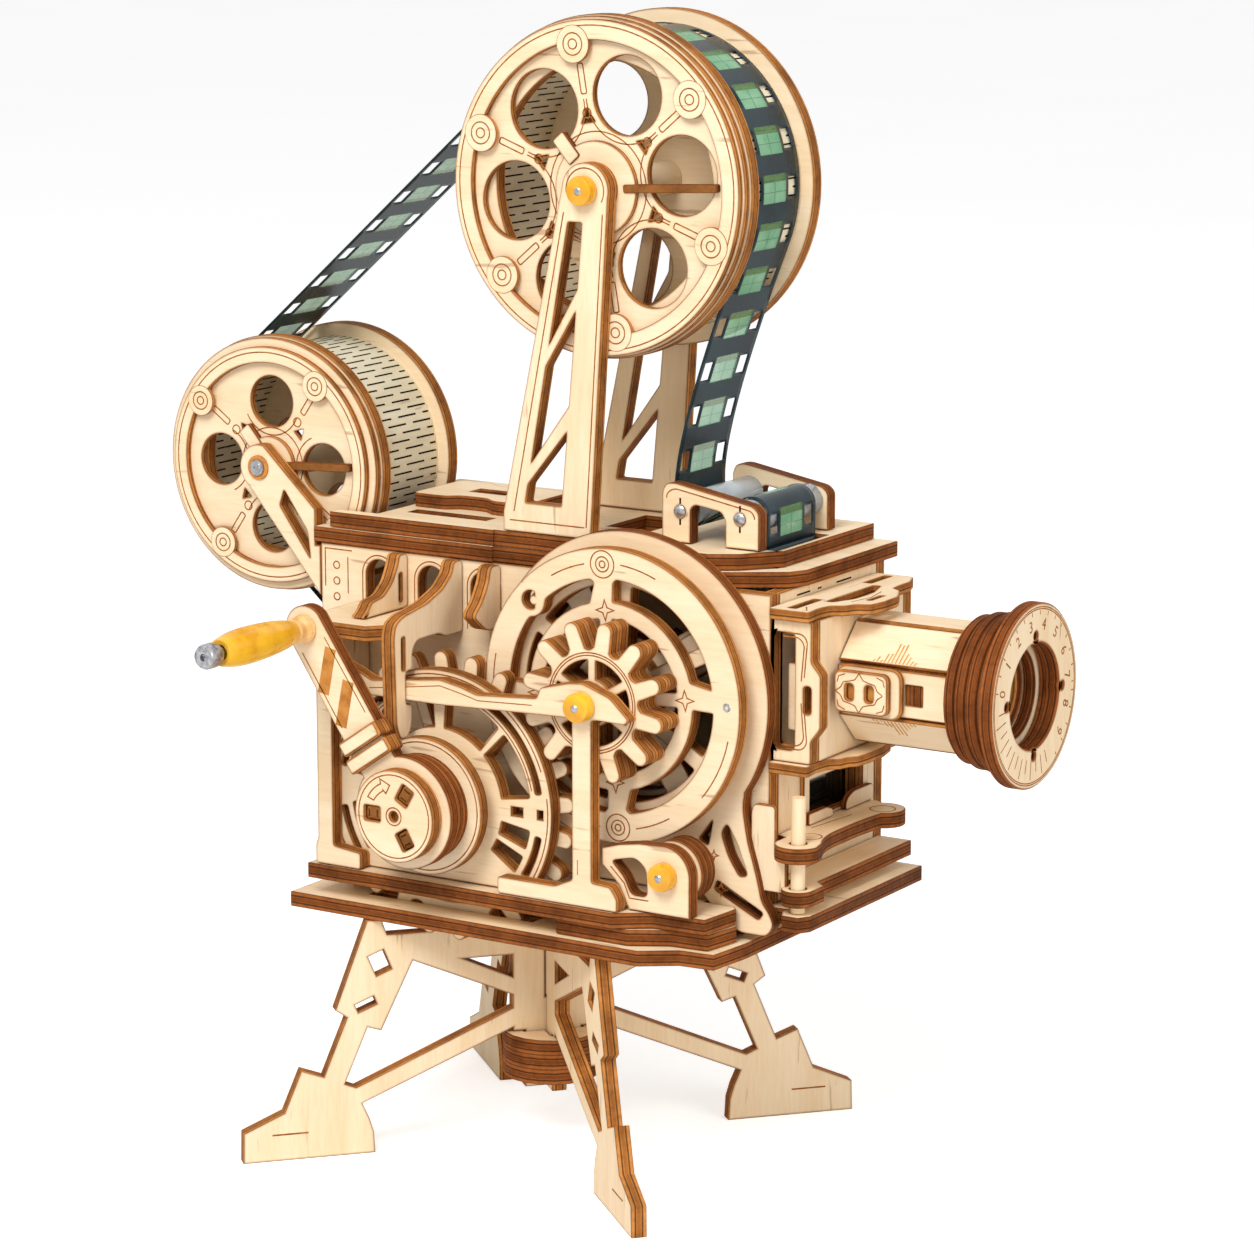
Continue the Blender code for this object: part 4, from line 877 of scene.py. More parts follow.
def make_reel(kind, centre, radius, drum_r, hub_r, holes, hole_r, hole_at, first_hole, bosses, boss_at,
              boss_r, first_boss, rim_out, rim_in):
    """All layers of one reel, in front of and behind its drum, with the burnt lines on its face.

    Holes and bosses are evenly spaced from a first angle; each has a radius and a distance from
    the middle, and the raised rim lies between rim_in and rim_out.
    """
    share = 360.0 / holes
    hole_angles = first_hole + np.arange(holes) * share
    boss_angles = first_boss + np.arange(bosses) * 360.0 / bosses
    openings = [ring(hole_r, spot(hole_at, a)) for a in hole_angles]
    notch = hub_r * 0.16 + 0.55
    three = spot(notch, np.array([0, 120, 240]))
    notches = [soften(turned(three, a, spot(hub_r + 3.4 + notch, a)), 0.4, 2)
               for a in hole_angles + share / 2]
    face = REEL_NEAR + 2.0
    bore = [ring(BORE_R)]
    near = cut_sheet(kind + "_face", "y", face, ring(radius), openings + notches + bore, centre,
                     thick=2.15)
    rim = cut_sheet(kind + "_rim", "y", REEL_NEAR, ring(rim_out),
                    [rim_line(rim_in, bosses, boss_r * 0.82, boss_at, first_boss)], centre, thick=2.02)
    hub = cut_sheet(kind + "_hub", "y", REEL_NEAR + 0.6, ring(hub_r), bore, centre, thick=1.5)
    disc = cut_sheet(kind + "_disc", "y", REEL_NEAR + 0.1, ring(hub_r * 0.56), bore, centre,
                     thick=0.6, chamfer=0.1)
    sticks = []
    for label, angle, low, high, wide in (("stick", 3.0, hub_r * 0.7, boss_at - 0.6, 2.2),
                                          ("peg", 131.0, hub_r * 0.75, hub_r + 5, 4.2)):
        line = soften(turned(bar(high - low, wide, ((low + high) / 2, 0.0)), angle), 0.7)
        sticks.append(cut_sheet(kind + "_" + label, "y", REEL_NEAR + 0.05, line, (), centre, thick=2.0,
                                edge=DARK_EDGE, halo=0.5))
    sticks[0].data.materials[0] = EDGE
    fit(kind + "_near_flange", [near, rim, hub, disc, *sticks])
    start = REEL_NEAR + PITCH
    inside = drum_r - 2.6
    second = cut_sheet(kind + "_second_ring", "y", start, ring(radius + 0.5), [ring(inside - 4.6)],
                       centre, thick=SHEET - GAP)
    wall = turn(kind + "_wall", "y", centre, tube(inside, drum_r, start + 3.8, REEL_FAR + 0.6),
                WALL_WOOD, 112)
    far = cut_sheet(kind + "_far_disc", "y", REEL_FAR, ring(radius + 0.5), openings + bore, centre)
    fit(kind + "_drum", [wall, second, far])
    # Each slit holds a near-black box: painted shade where the drum's dark inside shows.
    slit_wall(kind + "_slits", centre, inside, drum_r, start + 3.9, REEL_FAR, kind + "_drum")
    lines = [curve(hole_r + 2.2, a + 116, a + 244, spot(hole_at, a)) for a in hole_angles]
    for a in boss_angles:
        slot = turned(bar(hub_r * 0.3 + 4.2, 1.7), a, spot((hub_r + rim_in) / 2 + 3.2, a))
        lines += [shut(soften(slot, 0.5, 2)), shut(ring(1.25, spot(hub_r + 7.2, a)))]
    lines += [shut(ring(hub_r + 2.3))]
    marks = [shut(ring(boss_r * size, spot(boss_at, a))) for a in boss_angles for size in (0.58, 0.26)]
    boss_face = REEL_NEAR - 0.1
    for label, depth, drawn in (("face_lines", face, lines), ("boss_lines", boss_face, marks),
                                ("rim_line", REEL_NEAR, [shut(ring(rim_out - 1.5))])):
        burn(kind + "_" + label, "y", depth, -1, [line + centre for line in drawn], kind + "_near_flange")
    fit(kind + "_near_flange",
        [cut_sheet(kind + f"_boss_{k}", "y", boss_face, ring(boss_r), (), spot(boss_at, a, centre),
                   thick=1.1, chamfer=0.1, halo=0.3) for k, a in enumerate(boss_angles)])
    core = rod(4.6, start + 0.1, REEL_FAR - GAP)
    shaft = rod(2.5, ARM_NEAR - 0.4, REEL_FAR + SHEET + 6.4)
    fit(kind + "_axle", [turn(kind + "_core", "y", centre, core, FACE_Y, 40),
                         turn(kind + "_rod", "y", centre, shaft, EDGE, 28)])
    print(kind, "has", holes, "holes and", bosses, "bosses")


TOP_DRUM_R, REAR_DRUM_R = 40.6, 32.0
make_reel("top_reel", TOP_REEL, radius=44.5, drum_r=TOP_DRUM_R, hub_r=12.5,
          holes=6, hole_r=10.4, hole_at=26.0, first_hole=10.0,
          bosses=6, boss_at=37.8, boss_r=5.0, first_boss=40.0, rim_out=43.8, rim_in=38.5)
make_reel("rear_reel", REAR_REEL, radius=35.3, drum_r=REAR_DRUM_R, hub_r=8.0,
          holes=4, hole_r=7.2, hole_at=17.6, first_hole=0.0,
          bosses=4, boss_at=28.4, boss_r=4.3, first_boss=55.0, rim_out=33.0, rim_in=28.6)
cap("top_reel", TOP_REEL, ARM_NEAR - 3.6, "top_reel_axle")
for k, (size, near, material) in enumerate(((3.4, ARM_NEAR - 0.5, EDGE), (2.2, ARM_NEAR - 1.0, STEEL))):
    washer = tube(size - 0.9, size, near, ARM_NEAR + 0.3)
    belongs(turn(f"rear_reel_washer_{k}", "y", REAR_REEL, washer, material, 36), "rear_reel", "steel")
screw("rear_reel_screw", REAR_REEL, ARM_NEAR - 0.9, "rear_reel_axle", 1.5)

# %% [markdown]
# ## The gear train
# The big gear on the crank turns the small one on the flywheel. Their teeth are fingers: parallel
# sides, half-round tips and a rounded valley between two fingers.

# %% Gears


def finger_gear(teeth, tip, tall, finger, first):
    """One tooth and the valley after it, turned round the axis.

    The tip is half a circle; the valley is a quadratic curve that dips towards the axis.
    """
    root, half, share = tip - tall, finger / 2, 360.0 / teeth
    side = math.sqrt(root ** 2 - half ** 2)
    start = np.array([side, half])
    end = turned(np.array([[side, -half]]), share)[0]
    aim = spot(root - 1.9, share / 2)
    t = np.linspace(0.0, 1.0, 7)[:, None]
    valley = (1 - t) ** 2 * start + 2 * t * (1 - t) * aim + t ** 2 * end
    tooth = np.concatenate([curve(half, -90, 90, (tip - half, 0.0), 15.0), valley[:-1]])
    return np.concatenate([turned(tooth, first + k * share) for k in range(teeth)])


TO_PINION = math.degrees(math.atan2(FLYWHEEL[1] - CRANK[1], FLYWHEEL[0] - CRANK[0]))
big = finger_gear(24, 39.6, 6.6, 4.4, TO_PINION)
big_holes = [soften(line, 1.4) for line in spoke_windows(12.0, 29.0, 6, 3.6, 50.0)]
fit_sheet("drive_gear", "y", GEAR_Y, big, big_holes + [ring(BORE_R)], CRANK)
small = finger_gear(12, 21.7, 6.6, 4.4, TO_PINION + 195.0)
small_holes = [soften(line, 0.6, 2) for line in spoke_windows(6.4, 11.4, 6, 2.4, 30.0)]
fit("pinion_gear", [cut_sheet("pinion_" + label, "y", at, small, small_holes + [ring(BORE_R)], FLYWHEEL)
                    for label, at in (("near", RING_Y), ("far", GEAR_Y))])
burn("pinion_lines", "y", RING_Y, -1, [shut(ring(r, FLYWHEEL)) for r in (12.6, 13.3, 5.4)], "pinion_gear")
print("gears with", len(big), "and", len(small), "corners")

# %% [markdown]
# The flywheel is three layers: a still backing disc that runs down into a two-toed skirt, a spoked
# sheet that turns in front of it, and the heavy rim with its own spokes, lines and a steel screw.
# The outer edge of the rim's windows is a circle that steps inward round each of its bosses.

# %% Flywheel
disc = curve(42.5, -28.0, 290.0, FLYWHEEL, 3.0)
skirt = soften([(51.0, 90.0), (54.0, 86.0), (62.0, 77.6), (69.3, 72.4), (78.2, 72.4), (80.2, 75.6),
                (78.8, 78.8), (76.5, 81.5), (75.0, 88.0), (72.2, 97.0), (70.6, 106.0),
                (71.5, 111.5)], 2.4)[3:-3]
toes = [soften([(63.0, 85.6), (77.0, 78.6), (75.6, 76.6), (62.2, 83.0)], 0.9),
        soften([(65.9, 101.3), (69.0, 96.0), (72.2, 88.0), (69.8, 87.4), (66.4, 92.4), (64.2, 98.4)], 1.4),
        soften([(57.4, 96.0), (61.6, 101.6), (60.2, 94.6)], 0.8)]
bays = [soften(line, 1.4) + FLYWHEEL for line in spoke_windows(15.0, 29.0, 4, 8.5, 33.0)]
fit_sheet("backing_plate", "y", BACKING_Y, np.concatenate([disc, skirt]),
          toes + bays + [ring(BORE_R, FLYWHEEL)], edge=DARK_EDGE)
star = spot(np.tile([2.2, 0.55 * math.sqrt(2.0)], 4), np.arange(8) * 45.0)
burn("backing_lines", "y", BACKING_Y, -1,
     [shut(star * 0.8 + [64.2, 83.2]), shut(star * 0.6 + [62.0, 92.2])], "backing_plate")
back = [soften(line, 1.2) for line in spoke_windows(12.0, 29.0, 6, 4.5, 27.0)]
fit_sheet("flywheel_spokes", "y", SPOKES_Y, ring(36.0), back + [ring(BORE_R)], FLYWHEEL)


def swollen(outer, bosses, angles):
    """Radius at each angle: the outer circle, or less where a boss's disc reaches further in.

    Along a ray at an angle f from a boss of radius b at a distance d, the disc starts at
    d cos f - sqrt(b^2 - d^2 sin^2 f).
    """
    radius = np.full(len(angles), float(outer))
    for distance, at, size in bosses:
        f = np.radians(angles - at)
        inside = (np.abs(distance * np.sin(f)) < size) & (np.cos(f) > 0)
        near = distance * np.cos(f) - np.sqrt(np.maximum(0.0, size ** 2 - (distance * np.sin(f)) ** 2))
        radius = np.where(inside, np.minimum(radius, near), radius)
    return radius


RIM_BOSSES = [(34.6, 94.0, 5.4), (34.6, 274.0, 5.4), (34.0, 137.0, 4.6)]
SPOKE_AT = 4.0 + 90.0 * np.arange(4)
outer = []
for start in SPOKE_AT:
    angles = np.linspace(start + 5.6, start + 84.4, 48)
    far_side = spot(1.0, angles) * swollen(31.2, RIM_BOSSES, angles)[:, None]
    outer.append(soften(np.concatenate([spot(25.2, angles[::-4]), far_side]), 0.5, 2))
inner = [soften(line, 1.0) for line in spoke_windows(7.0, 20.6, 4, 4.0, SPOKE_AT[0])]
comma_at = spot(34.0, 137.0)
comma = np.concatenate([curve(2.5, 60, 300, comma_at, 12.0),
                        curve(1.3, 285, 75, comma_at + [1.1, 0.0], 18.0)])
fit_sheet("flywheel_rim", "y", RIM_Y, ring(39.3), outer + inner + [comma, ring(BORE_R)], FLYWHEEL)
lines = [shut(turned(star * 1.25, angle, spot(22.9, angle))) for angle in SPOKE_AT]
for angle in (94.0, 274.0):
    lines += [shut(ring(r, spot(35.0, angle))) for r in (3.6, 2.0, 0.9)]
    lines += [curve(35.4, angle + side * 9.0, angle + side * 27.0) for side in (-1, 1)]
lines += [curve(36.6, 168, 200), curve(36.6, -40, -12)]
burn("flywheel_lines", "y", RIM_Y, -1, [line + FLYWHEEL for line in lines], "flywheel_rim")
screw("flywheel_screw", spot(35.4, 2.0, FLYWHEEL), RIM_Y + 0.2, "flywheel_rim", 1.35)
fit("flywheel_shaft", [turn("flywheel_rod", "y", FLYWHEEL, rod(2.5, FRAME_Y - 0.4, ROD_END), EDGE, 24)])
cap("flywheel", FLYWHEEL, FRAME_Y - 3.9, "flywheel_shaft", 3.9, 3.6)
print("flywheel with", len(lines), "burnt lines")

# %% [markdown]
# In front of the big gear stands a still ring, cut with long slits and windows, which steadies the
# crank's shaft. It stands on the deck with a flat foot.

# %% The ring in front of the gear
GUARD_R = math.dist(CRANK, FLYWHEEL) - 21.7 - 2 * GAP
low = math.degrees(math.asin((WALL_Z - CRANK[1]) / GUARD_R))
sides = [(low + 4.0, -11.0), (10.0, 84.0), (96.0, 170.0), (190.0, 176.0 - low)]
cuts = [soften(window(GUARD_R - 4.6, GUARD_R - 2.7, a, b, 3.0), 0.7, 3) for a, b in sides]
for a, b in sides:
    cuts += [soften(window(19.9, GUARD_R - 6.6, low_a + 2.4, high_a - 2.4, 3.0), 1.1, 3)
             for low_a, high_a in ((a - 4.0, (a + b) / 2), ((a + b) / 2, b + 4.0))]
cuts += [bar(3.6, 2.4, (24.6, 0.0)), bar(1.7, 2.4, (GUARD_R - 3.6, 0.0)), ring(BORE_R)]
fit_sheet("gear_guard", "y", RING_Y, curve(GUARD_R, low, 180.0 - low, step=3.0), cuts, CRANK, halo=0.45)
arcs = [(1.2, 20, 160), (1.2, -38, 8), (5.6, 12, 82), (5.6, 98, 168)]
burn("gear_guard_lines", "y", RING_Y, -1, [curve(GUARD_R - inset, a, b, CRANK) for inset, a, b in arcs],
     "gear_guard")
print("guard ring of radius", round(GUARD_R, 1))

# %% [markdown]
# ## The crank
# The hub is a stack of discs on the shaft: a cap with a tab in each of its three windows, the arm,
# two dark rings and a pale disc. The arm has two raised collars and two broad brown bands.

# %% Crank
DISC_Y = -43.1
windows, tabs = ([soften(turned(bar(long, wide, (6.9, 0.0)), a), 0.7, 3) for a in (60.0, 180.0, 300.0)]
                 for long, wide in ((5.2, 4.2), (4.4, 3.4)))
hub = [cut_sheet(f"crank_tab_{k}", "y", CAP_Y + 0.5, tab, (), CRANK, thick=3.6, chamfer=0.5)
       for k, tab in enumerate(tabs)]
for piece in hub:
    piece.data.materials[0] = EDGE
hub += [cut_sheet("crank_ring_" + label, "y", ARM_Y + SHEET + gap, ring(14.5), [ring(5.0)], CRANK,
                  thick=2.1, edge=DARK_EDGE) for label, gap in (("a", 0.3), ("b", 2.5))]
crank_rod = [(0.0, CAP_Y + 2.2), (2.4, CAP_Y + 2.2), (5.0, CAP_Y + 4.0), (5.0, -39.8), (9.0, -39.6),
             (9.0, -35.3), (2.5, -35.3), (2.5, ROD_END), (0.0, ROD_END)]
hub += [cut_sheet("crank_cap", "y", CAP_Y, ring(12.4), windows + [ring(1.4)], CRANK),
        cut_sheet("crank_disc", "y", DISC_Y, ring(18.6), [ring(5.0)], CRANK, thick=3.4),
        turn("crank_rod", "y", CRANK, crank_rod, EDGE, 32)]
fit("crank_shaft", hub)
arrow_head = spot(np.array([10.6, 8.4, 6.4, 7.6]), np.array([114, 98, 112, 116]))
arrow = shut(np.concatenate([curve(9.3, 152, 116), arrow_head, curve(7.3, 118, 150)]))
burn("crank_cap_lines", "y", CAP_Y, -1,
     [line + CRANK for line in (shut(ring(11.2)), shut(ring(2.4)), arrow)], "crank_shaft")
burn("crank_disc_lines", "y", DISC_Y, -1, [shut(ring(17.4, CRANK))], "crank_shaft")
reach = math.dist(CRANK, HANDLE)
lean = math.degrees(math.atan2(HANDLE[1] - CRANK[1], HANDLE[0] - CRANK[0]))
arm = np.concatenate([curve(15.2, 24, 336), curve(6.2, -80, 80, (reach, 0.0), 8.0)])
arm_holes = [ring(5.3), ring(1.9, (reach, 0.0))]
arm_parts = [cut_sheet("crank_arm_cut", "y", ARM_Y, turned(arm, lean),
                       [turned(hole, lean) for hole in arm_holes],
                       CRANK, edge=DARK_EDGE)]
for k, at in enumerate((17.6, 22.6)):
    band = soften(bar(4.2, 15.4 - k * 1.4, (at, 0.0), 0.0), 1.0)
    arm_parts.append(cut_sheet(f"crank_collar_{k}", "y", ARM_Y - 2.2, turned(band, lean), (), CRANK,
                               thick=SHEET + 2.4, chamfer=0.5, halo=0.5))
fit("crank_arm", arm_parts)
edges = [np.array([[28.0, 4.6 * side], [reach - 5.0, 4.4 * side]]) for side in (-1, 1)]
bands = [np.array([[at, 4.7], [at + 9.0, -4.5]]) for at in (28.5, 38.5)]
for label, drawn, wide, material in (("bands", bands, 3.6, BROWN_BAND), ("lines", edges, 0.3, LINE)):
    burn("crank_arm_" + label, "y", ARM_Y, -1, [turned(line, lean, CRANK) for line in drawn], "crank_arm",
         wide, material)
print("crank arm", round(reach, 1), "mm long")

# %% [markdown]
# The handle turns on a long steel screw: a waisted ferrule against the arm, a swollen grip and a
# screw head sunk in its end. The grip's outline is a quartic fitted to a few measured radii.

# %% Handle
far_end, near_end = ARM_Y - 6.0, ARM_Y - 37.0
knots = np.array([0.0, 0.08, 0.25, 0.45, 0.68, 0.86, 1.0])
radii = np.array([0.70, 0.86, 0.97, 1.0, 0.94, 0.80, 0.64])
swell = np.polyfit(knots, radii, 4)
s = np.linspace(0.0, 1.0, 36)
body = np.stack([4.9 * np.polyval(swell, s), near_end + (far_end - near_end) * s], axis=1)
grip = np.concatenate([[(2.1, near_end + 0.6), (3.1, near_end)], body,
                       [(2.1, far_end), (2.1, near_end + 0.6)]])
fit("handle_grip", [turn("handle_grip_turned", "y", HANDLE, grip, YELLOW, 56)])
screw_head = [(0.0, -94.4), (0.8, -94.5), (1.0, -95.7), (1.9, -95.95), (2.9, -95.6), (3.3, -94.8), (3.35, -92.0),
              (2.9, -90.6), (1.6, -90.2), (1.6, -58.4), (0.0, -58.4)]
ferrule = [(0.0, -58.0), (2.9, -57.8), (3.3, -57.2), (2.7, -56.4), (2.7, -54.6), (3.7, -53.8),
           (3.9, -52.4), (0.0, -52.3)]
nut = [(0.0, -47.5), (2.9, -47.5), (2.6, -46.2), (0.0, -46.1)]
fit("handle_pin", [turn("handle_screw", "y", HANDLE, screw_head, STEEL, 36),
                   turn("handle_ferrule", "y", HANDLE, ferrule, YELLOW_WOOD, 36),
                   turn("handle_nut", "y", HANDLE, nut, STEEL, 24)])
print("handle from", near_end, "to", far_end, "mm")

# %% [markdown]
# The small wheel by the skirt is a fat turned roller of dark sheets, on a bracket with a curved
# back and a foot on the deck.

# %% Small wheel and its bracket
outline = np.concatenate([[(38.7, 95.0), (44.0, 96.6), (50.0, 97.6)], curve(7.9, 90, 0, (57.5, 90.0), 5.0),
                          [(65.4, WALL_Z), (47.0, WALL_Z), (44.0, 85.6), (38.7, 90.6)]])
opening = soften([(41.6, 92.0), (49.0, 93.6), (52.2, 91.0), (52.6, 83.6), (47.8, 83.6), (45.6, 88.2)], 1.6)
fit_sheet("idler_bracket", "y", RING_Y, outline, [opening, ring(BORE_R, IDLER)], edge=DARK_EDGE)
burn("idler_bracket_lines", "y", RING_Y, -1,
     [[(47.2, 82.6), (45.6, 86.4), (41.4, 90.4)], [(47.2, 82.6), (53.0, 82.6)]], "idler_bracket")
LAYER_PITCH = 2.3
near = RING_Y + SHEET + GAP
layers = [cut_sheet(f"idler_layer_{k}", "y", near + k * LAYER_PITCH, ring(8.5), (), IDLER,
                    thick=LAYER_PITCH - 0.1, edge=DARK_EDGE)
          for k in range(int((BACKING_Y - 5.0 - near) / LAYER_PITCH))]
fit("idler_wheel", layers)
burn("idler_lines", "y", near, -1, [shut(ring(6.6, IDLER))], "idler_wheel")
cap("idler", IDLER, RING_Y - 3.4, "idler_wheel", 3.7, 3.2)
print("small wheel of", len(layers), "layers")

# %% [markdown]
# ## Supports and brackets
# The reels hang between pairs of upright sheets: two A-shaped ones on the roof and two V-shaped
# arms at the back. Their round heads get fine arcs, and lines follow their edges.

# %% Reel supports
x, z = TOP_REEL
foot = ROOF_TOP + GAP


def along(low, high, height):
    """The point of a straight edge at a height."""
    return (low[0] + (high[0] - low[0]) * (height - low[1]) / (high[1] - low[1]), height)


left_in = ((x - 19.0, foot + 8.0), (x - 5.2, z - 8.0))
right_in = ((x - 7.6, foot + 8.0), (x - 0.9, z - 8.0))
outline = np.concatenate([[(x - 26.0, foot), (x + 1.6, foot)], curve(7.2, -14, 172, TOP_REEL, 5.0),
                          [(x - 26.0, foot + 5.0)]])
levels = [(foot + 8.0, foot + 8.0, foot + 13.0, foot + 28.0),
          (foot + 19.0, foot + 35.0, foot + 45.0, foot + 60.0),
          (foot + 51.0, foot + 66.0, z - 8.5, z - 8.5)]
windows = [soften([along(*left_in, a), along(*right_in, b), along(*right_in, d), along(*left_in, c)], 0.5, 2)
           for a, b, c, d in levels]
FAR_SUPPORT = REEL_FAR + PITCH
for side, at in (("near", ARM_NEAR), ("far", FAR_SUPPORT)):
    fit_sheet(side + "_top_support", "y", at, outline, windows + [ring(BORE_R, TOP_REEL)], grain="z")
lines = [curve(5.8, -30, 190, TOP_REEL), [(x - 22.6, foot + 5.4), (x - 6.6, z - 6.0)],
         [(x + 0.2, foot + 3.0), (x + 5.4, z - 6.0)], [(x - 24.0, foot + 3.0), (x - 0.4, foot + 3.0)]]
burn("near_top_support_lines", "y", ARM_NEAR, -1, lines, "near_top_support")
x, z = REAR_REEL
wall, roof = -67.3, -69.0
outline = np.concatenate([curve(6.4, 75, 235, REAR_REEL, 5.0),
                          [(wall, 147.0), (wall, 161.0), (roof, 161.0), (roof, ROOF_TOP)]])
opening = soften([(x + 7.0, z - 10.0), (wall - 3.4, 157.0), (roof - 2.6, 164.6), (x + 8.6, z - 5.4)], 0.8, 3)
for side, at in (("near", ARM_NEAR), ("far", FAR_SUPPORT)):
    fit_sheet(side + "_rear_support", "y", at, outline, [opening, ring(BORE_R, REAR_REEL)])
print("two pairs of reel supports")

# %% [markdown]
# Three curved brackets stand square to the wall, under the eaves and round the cross bar.

# %% Curved brackets
wall = WALL_NEAR - GAP
shelf_top = 147.1
rear = soften([(wall, shelf_top), (-34.0, shelf_top), (-31.0, 149.0), (-29.6, 151.0), (-24.0, 151.8),
               (-19.8, 155.0), (-17.2, 159.6), (-16.6, EAVE), (wall, EAVE)], 1.6)
front = soften([(wall, 144.0), (-20.0, 145.0), (-25.6, 149.5), (-21.6, 153.0), (-18.4, 158.0),
                (-17.6, EAVE), (wall, EAVE)], 1.8)
door = soften([(wall, 142.2), (-21.0, 142.2), (-24.0, 143.6), (-34.6, 143.6), (-36.7, 141.0), (-36.7, 136.0),
               (-39.8, 136.0), (-39.8, 127.0), (-36.7, 127.0), (-37.2, 121.0), (-39.0, 118.0), (-42.4, 118.0),
               (-44.2, 122.0), (-45.0, 146.0), (-44.0, 149.5), (-40.6, 151.0), (-30.0, 152.6), (-22.0, 155.4),
               (-17.6, 159.0), (-16.8, EAVE), (wall, EAVE)], 1.6)
rear_slot = [soften(bar(1.6, 8.0, (-16.2, 153.0)), 0.7)]
door_slot = [soften(bar(1.6, 9.0, (-40.8, 141.0)), 0.7)]
for node, left, line, slots in (("rear_bracket", -42.0, rear, rear_slot),
                                ("front_bracket", -11.6, front, ()),
                                ("door_bracket", -24.0, door, door_slot)):
    fit_sheet(node, "x", left, line, slots)
print("three curved brackets")

# %% [markdown]
# The near wall is cut again, with its three arches and a round opening behind the flywheel, and so
# are the front wall with its window and the bar that runs in front of the gears.

# %% Walls and the bar in front of the gears


def arch(centre, wide, low, high):
    """A window outline with a round head."""
    return np.concatenate([[(centre + wide / 2, low)],
                           curve(wide / 2, 0, 180, (centre, high - wide / 2), 8.0),
                           [(centre - wide / 2, low)]])


def panel(left, right, low, high):
    """The corners of an upright rectangle."""
    return [(left, low), (right, low), (right, high), (left, high)]


FRONT_X = 76.0
fly_hole = [soften(line, 2.0) + FLYWHEEL for line in spoke_windows(12.0, 27.4, 2, 12.0, 33.0)]
fit_sheet("near_wall", "y", WALL_NEAR, panel(-67.0, FRONT_X, WALL_Z, EAVE),
          [arch(at, 8.5, 144.0, 159.0) for at in ARCHES] + fly_hole
          + [ring(BORE_R, CRANK), ring(BORE_R, FLYWHEEL)])
fit_sheet("front_wall", "x", FRONT_X - SHEET, panel(-8.0, 44.0, WALL_Z, EAVE),
          [panel(6.4, 35.2, 97.6, 109.4), ring(13.0, LENS)])
frame_line = [(8.8, WALL_Z), (46.1, WALL_Z), (46.1, 83.0), (44.0, 86.0), (38.3, 86.4), (38.3, 129.6),
              (40.0, 129.9), (48.6, 129.7), (49.6, 131.1), (43.9, 136.3), (39.4, 137.9),
              (35.6, 139.2), (31.4, 138.8), (22.6, 136.6), (21.4, 133.6), (2.7, 132.3), (-2.7, 133.9),
              (-9.0, 135.1), (-20.0, 133.8), (-31.2, 132.4), (-36.0, 134.6), (-41.0, 136.4),
              (-45.0, 141.0), (-49.6, 142.0), (-49.6, 86.4), (-50.4, 84.8), (-50.4, WALL_Z),
              (-35.6, WALL_Z), (-35.6, 84.0), (-44.5, 85.0), (-44.5, 128.2), (-9.2, 128.2),
              (20.9, 129.3), (32.3, 129.6), (32.3, 86.4), (26.8, 84.0), (8.8, 84.0)]
fit_sheet("front_frame", "y", FRAME_Y, soften(frame_line, 0.8, 3), [ring(BORE_R, FLYWHEEL)])
burn("front_frame_lines", "y", FRAME_Y, -1,
     [[(-32.0, 130.2), (-20.0, 131.8), (-9.0, 133.4), (-2.0, 132.0), (3.0, 130.8), (20.0, 131.6)],
      [(34.0, 88.0), (34.0, 92.0)]], "front_frame", wide=0.26)
print("walls and bar cut")

# %% [markdown]
# The walls are marked with an outline round each arch, and with rows of small rings and slots.

# %% Lines on the walls
lines = [arch(at, 10.9, 143.0, 160.2) for at in ARCHES]
lines += [[(-65.6, 150.0), (-65.6, 160.6), (-56.6, 160.6)], [(-58.0, 148.6), (-58.0, 158.8)]]
lines += [shut(ring(1.0, (-61.8, at))) for at in (143.0, 147.4, 151.8, 156.2)]
lines += [shut(soften(bar(3.4, 8.0, (70.2, at)), 1.2)) for at in (118.0, 150.0)]
burn("near_wall_lines", "y", WALL_NEAR, -1, lines, "near_wall")
burn("far_wall_lines", "y", WALL_FAR, 1, lines[:len(ARCHES)], "far_wall")
# The three slots at the top of the front wall are near-black bars: painted shade in the openings.
slots = [[(at, 159.9), (at + wide, 159.9)] for at, wide in ((1.0, 7.0), (12.0, 2.0), (22.0, 8.0))]
burn("front_wall_slots", "x", FRONT_X, 1, slots, "front_wall", wide=0.45, material=PAINTED_SHADE)
print(len(lines), "lines on the near wall")

# %% [markdown]
# ## The film
# The film is one endless strip. Its route is the CAD model's: tangent to both drums, down in a
# slack curve to the two rollers, through the case and back. Each picture is 12.6 mm after the
# last, with a real hole punched at each side of it.

# %% Film route


def bend(start, aim, end, count):
    """A quadratic curve from start to end that leaves and arrives along the lines to the aim."""
    t = np.linspace(0.0, 1.0, count)[:, None]
    return (1 - t) ** 2 * np.array(start) + 2 * t * (1 - t) * np.array(aim) + t ** 2 * np.array(end)


ROLLER_R = 4.4
rear_r, top_r, wrap = REAR_DRUM_R + GAP, TOP_DRUM_R + GAP, ROLLER_R + GAP
tip = math.atan2(TOP_REEL[1] - REAR_REEL[1], TOP_REEL[0] - REAR_REEL[0])
leave = math.degrees(tip + math.pi / 2 - math.asin((rear_r - top_r) / math.dist(REAR_REEL, TOP_REEL)))
on_reel = curve(top_r, leave, -22, TOP_REEL, 1.0)
left_roller, right_roller = (43.1, ROOF_TOP + 8.6), (61.3, ROOF_TOP + 8.2)
slack = bend(on_reel[-1], spot(50.0, -112, on_reel[-1]), (left_roller[0] - 5.1, left_roller[1] + 5.4), 40)
gate = soften([(66.2, ROOF_TOP + 1.0), (66.8, 166.0), (67.4, 158.0), (67.4, 114.0), (64.0, 101.0),
               (56.0, 93.0), (44.0, 88.0), (20.0, 86.4)], 6.0, 8)[4:-4]
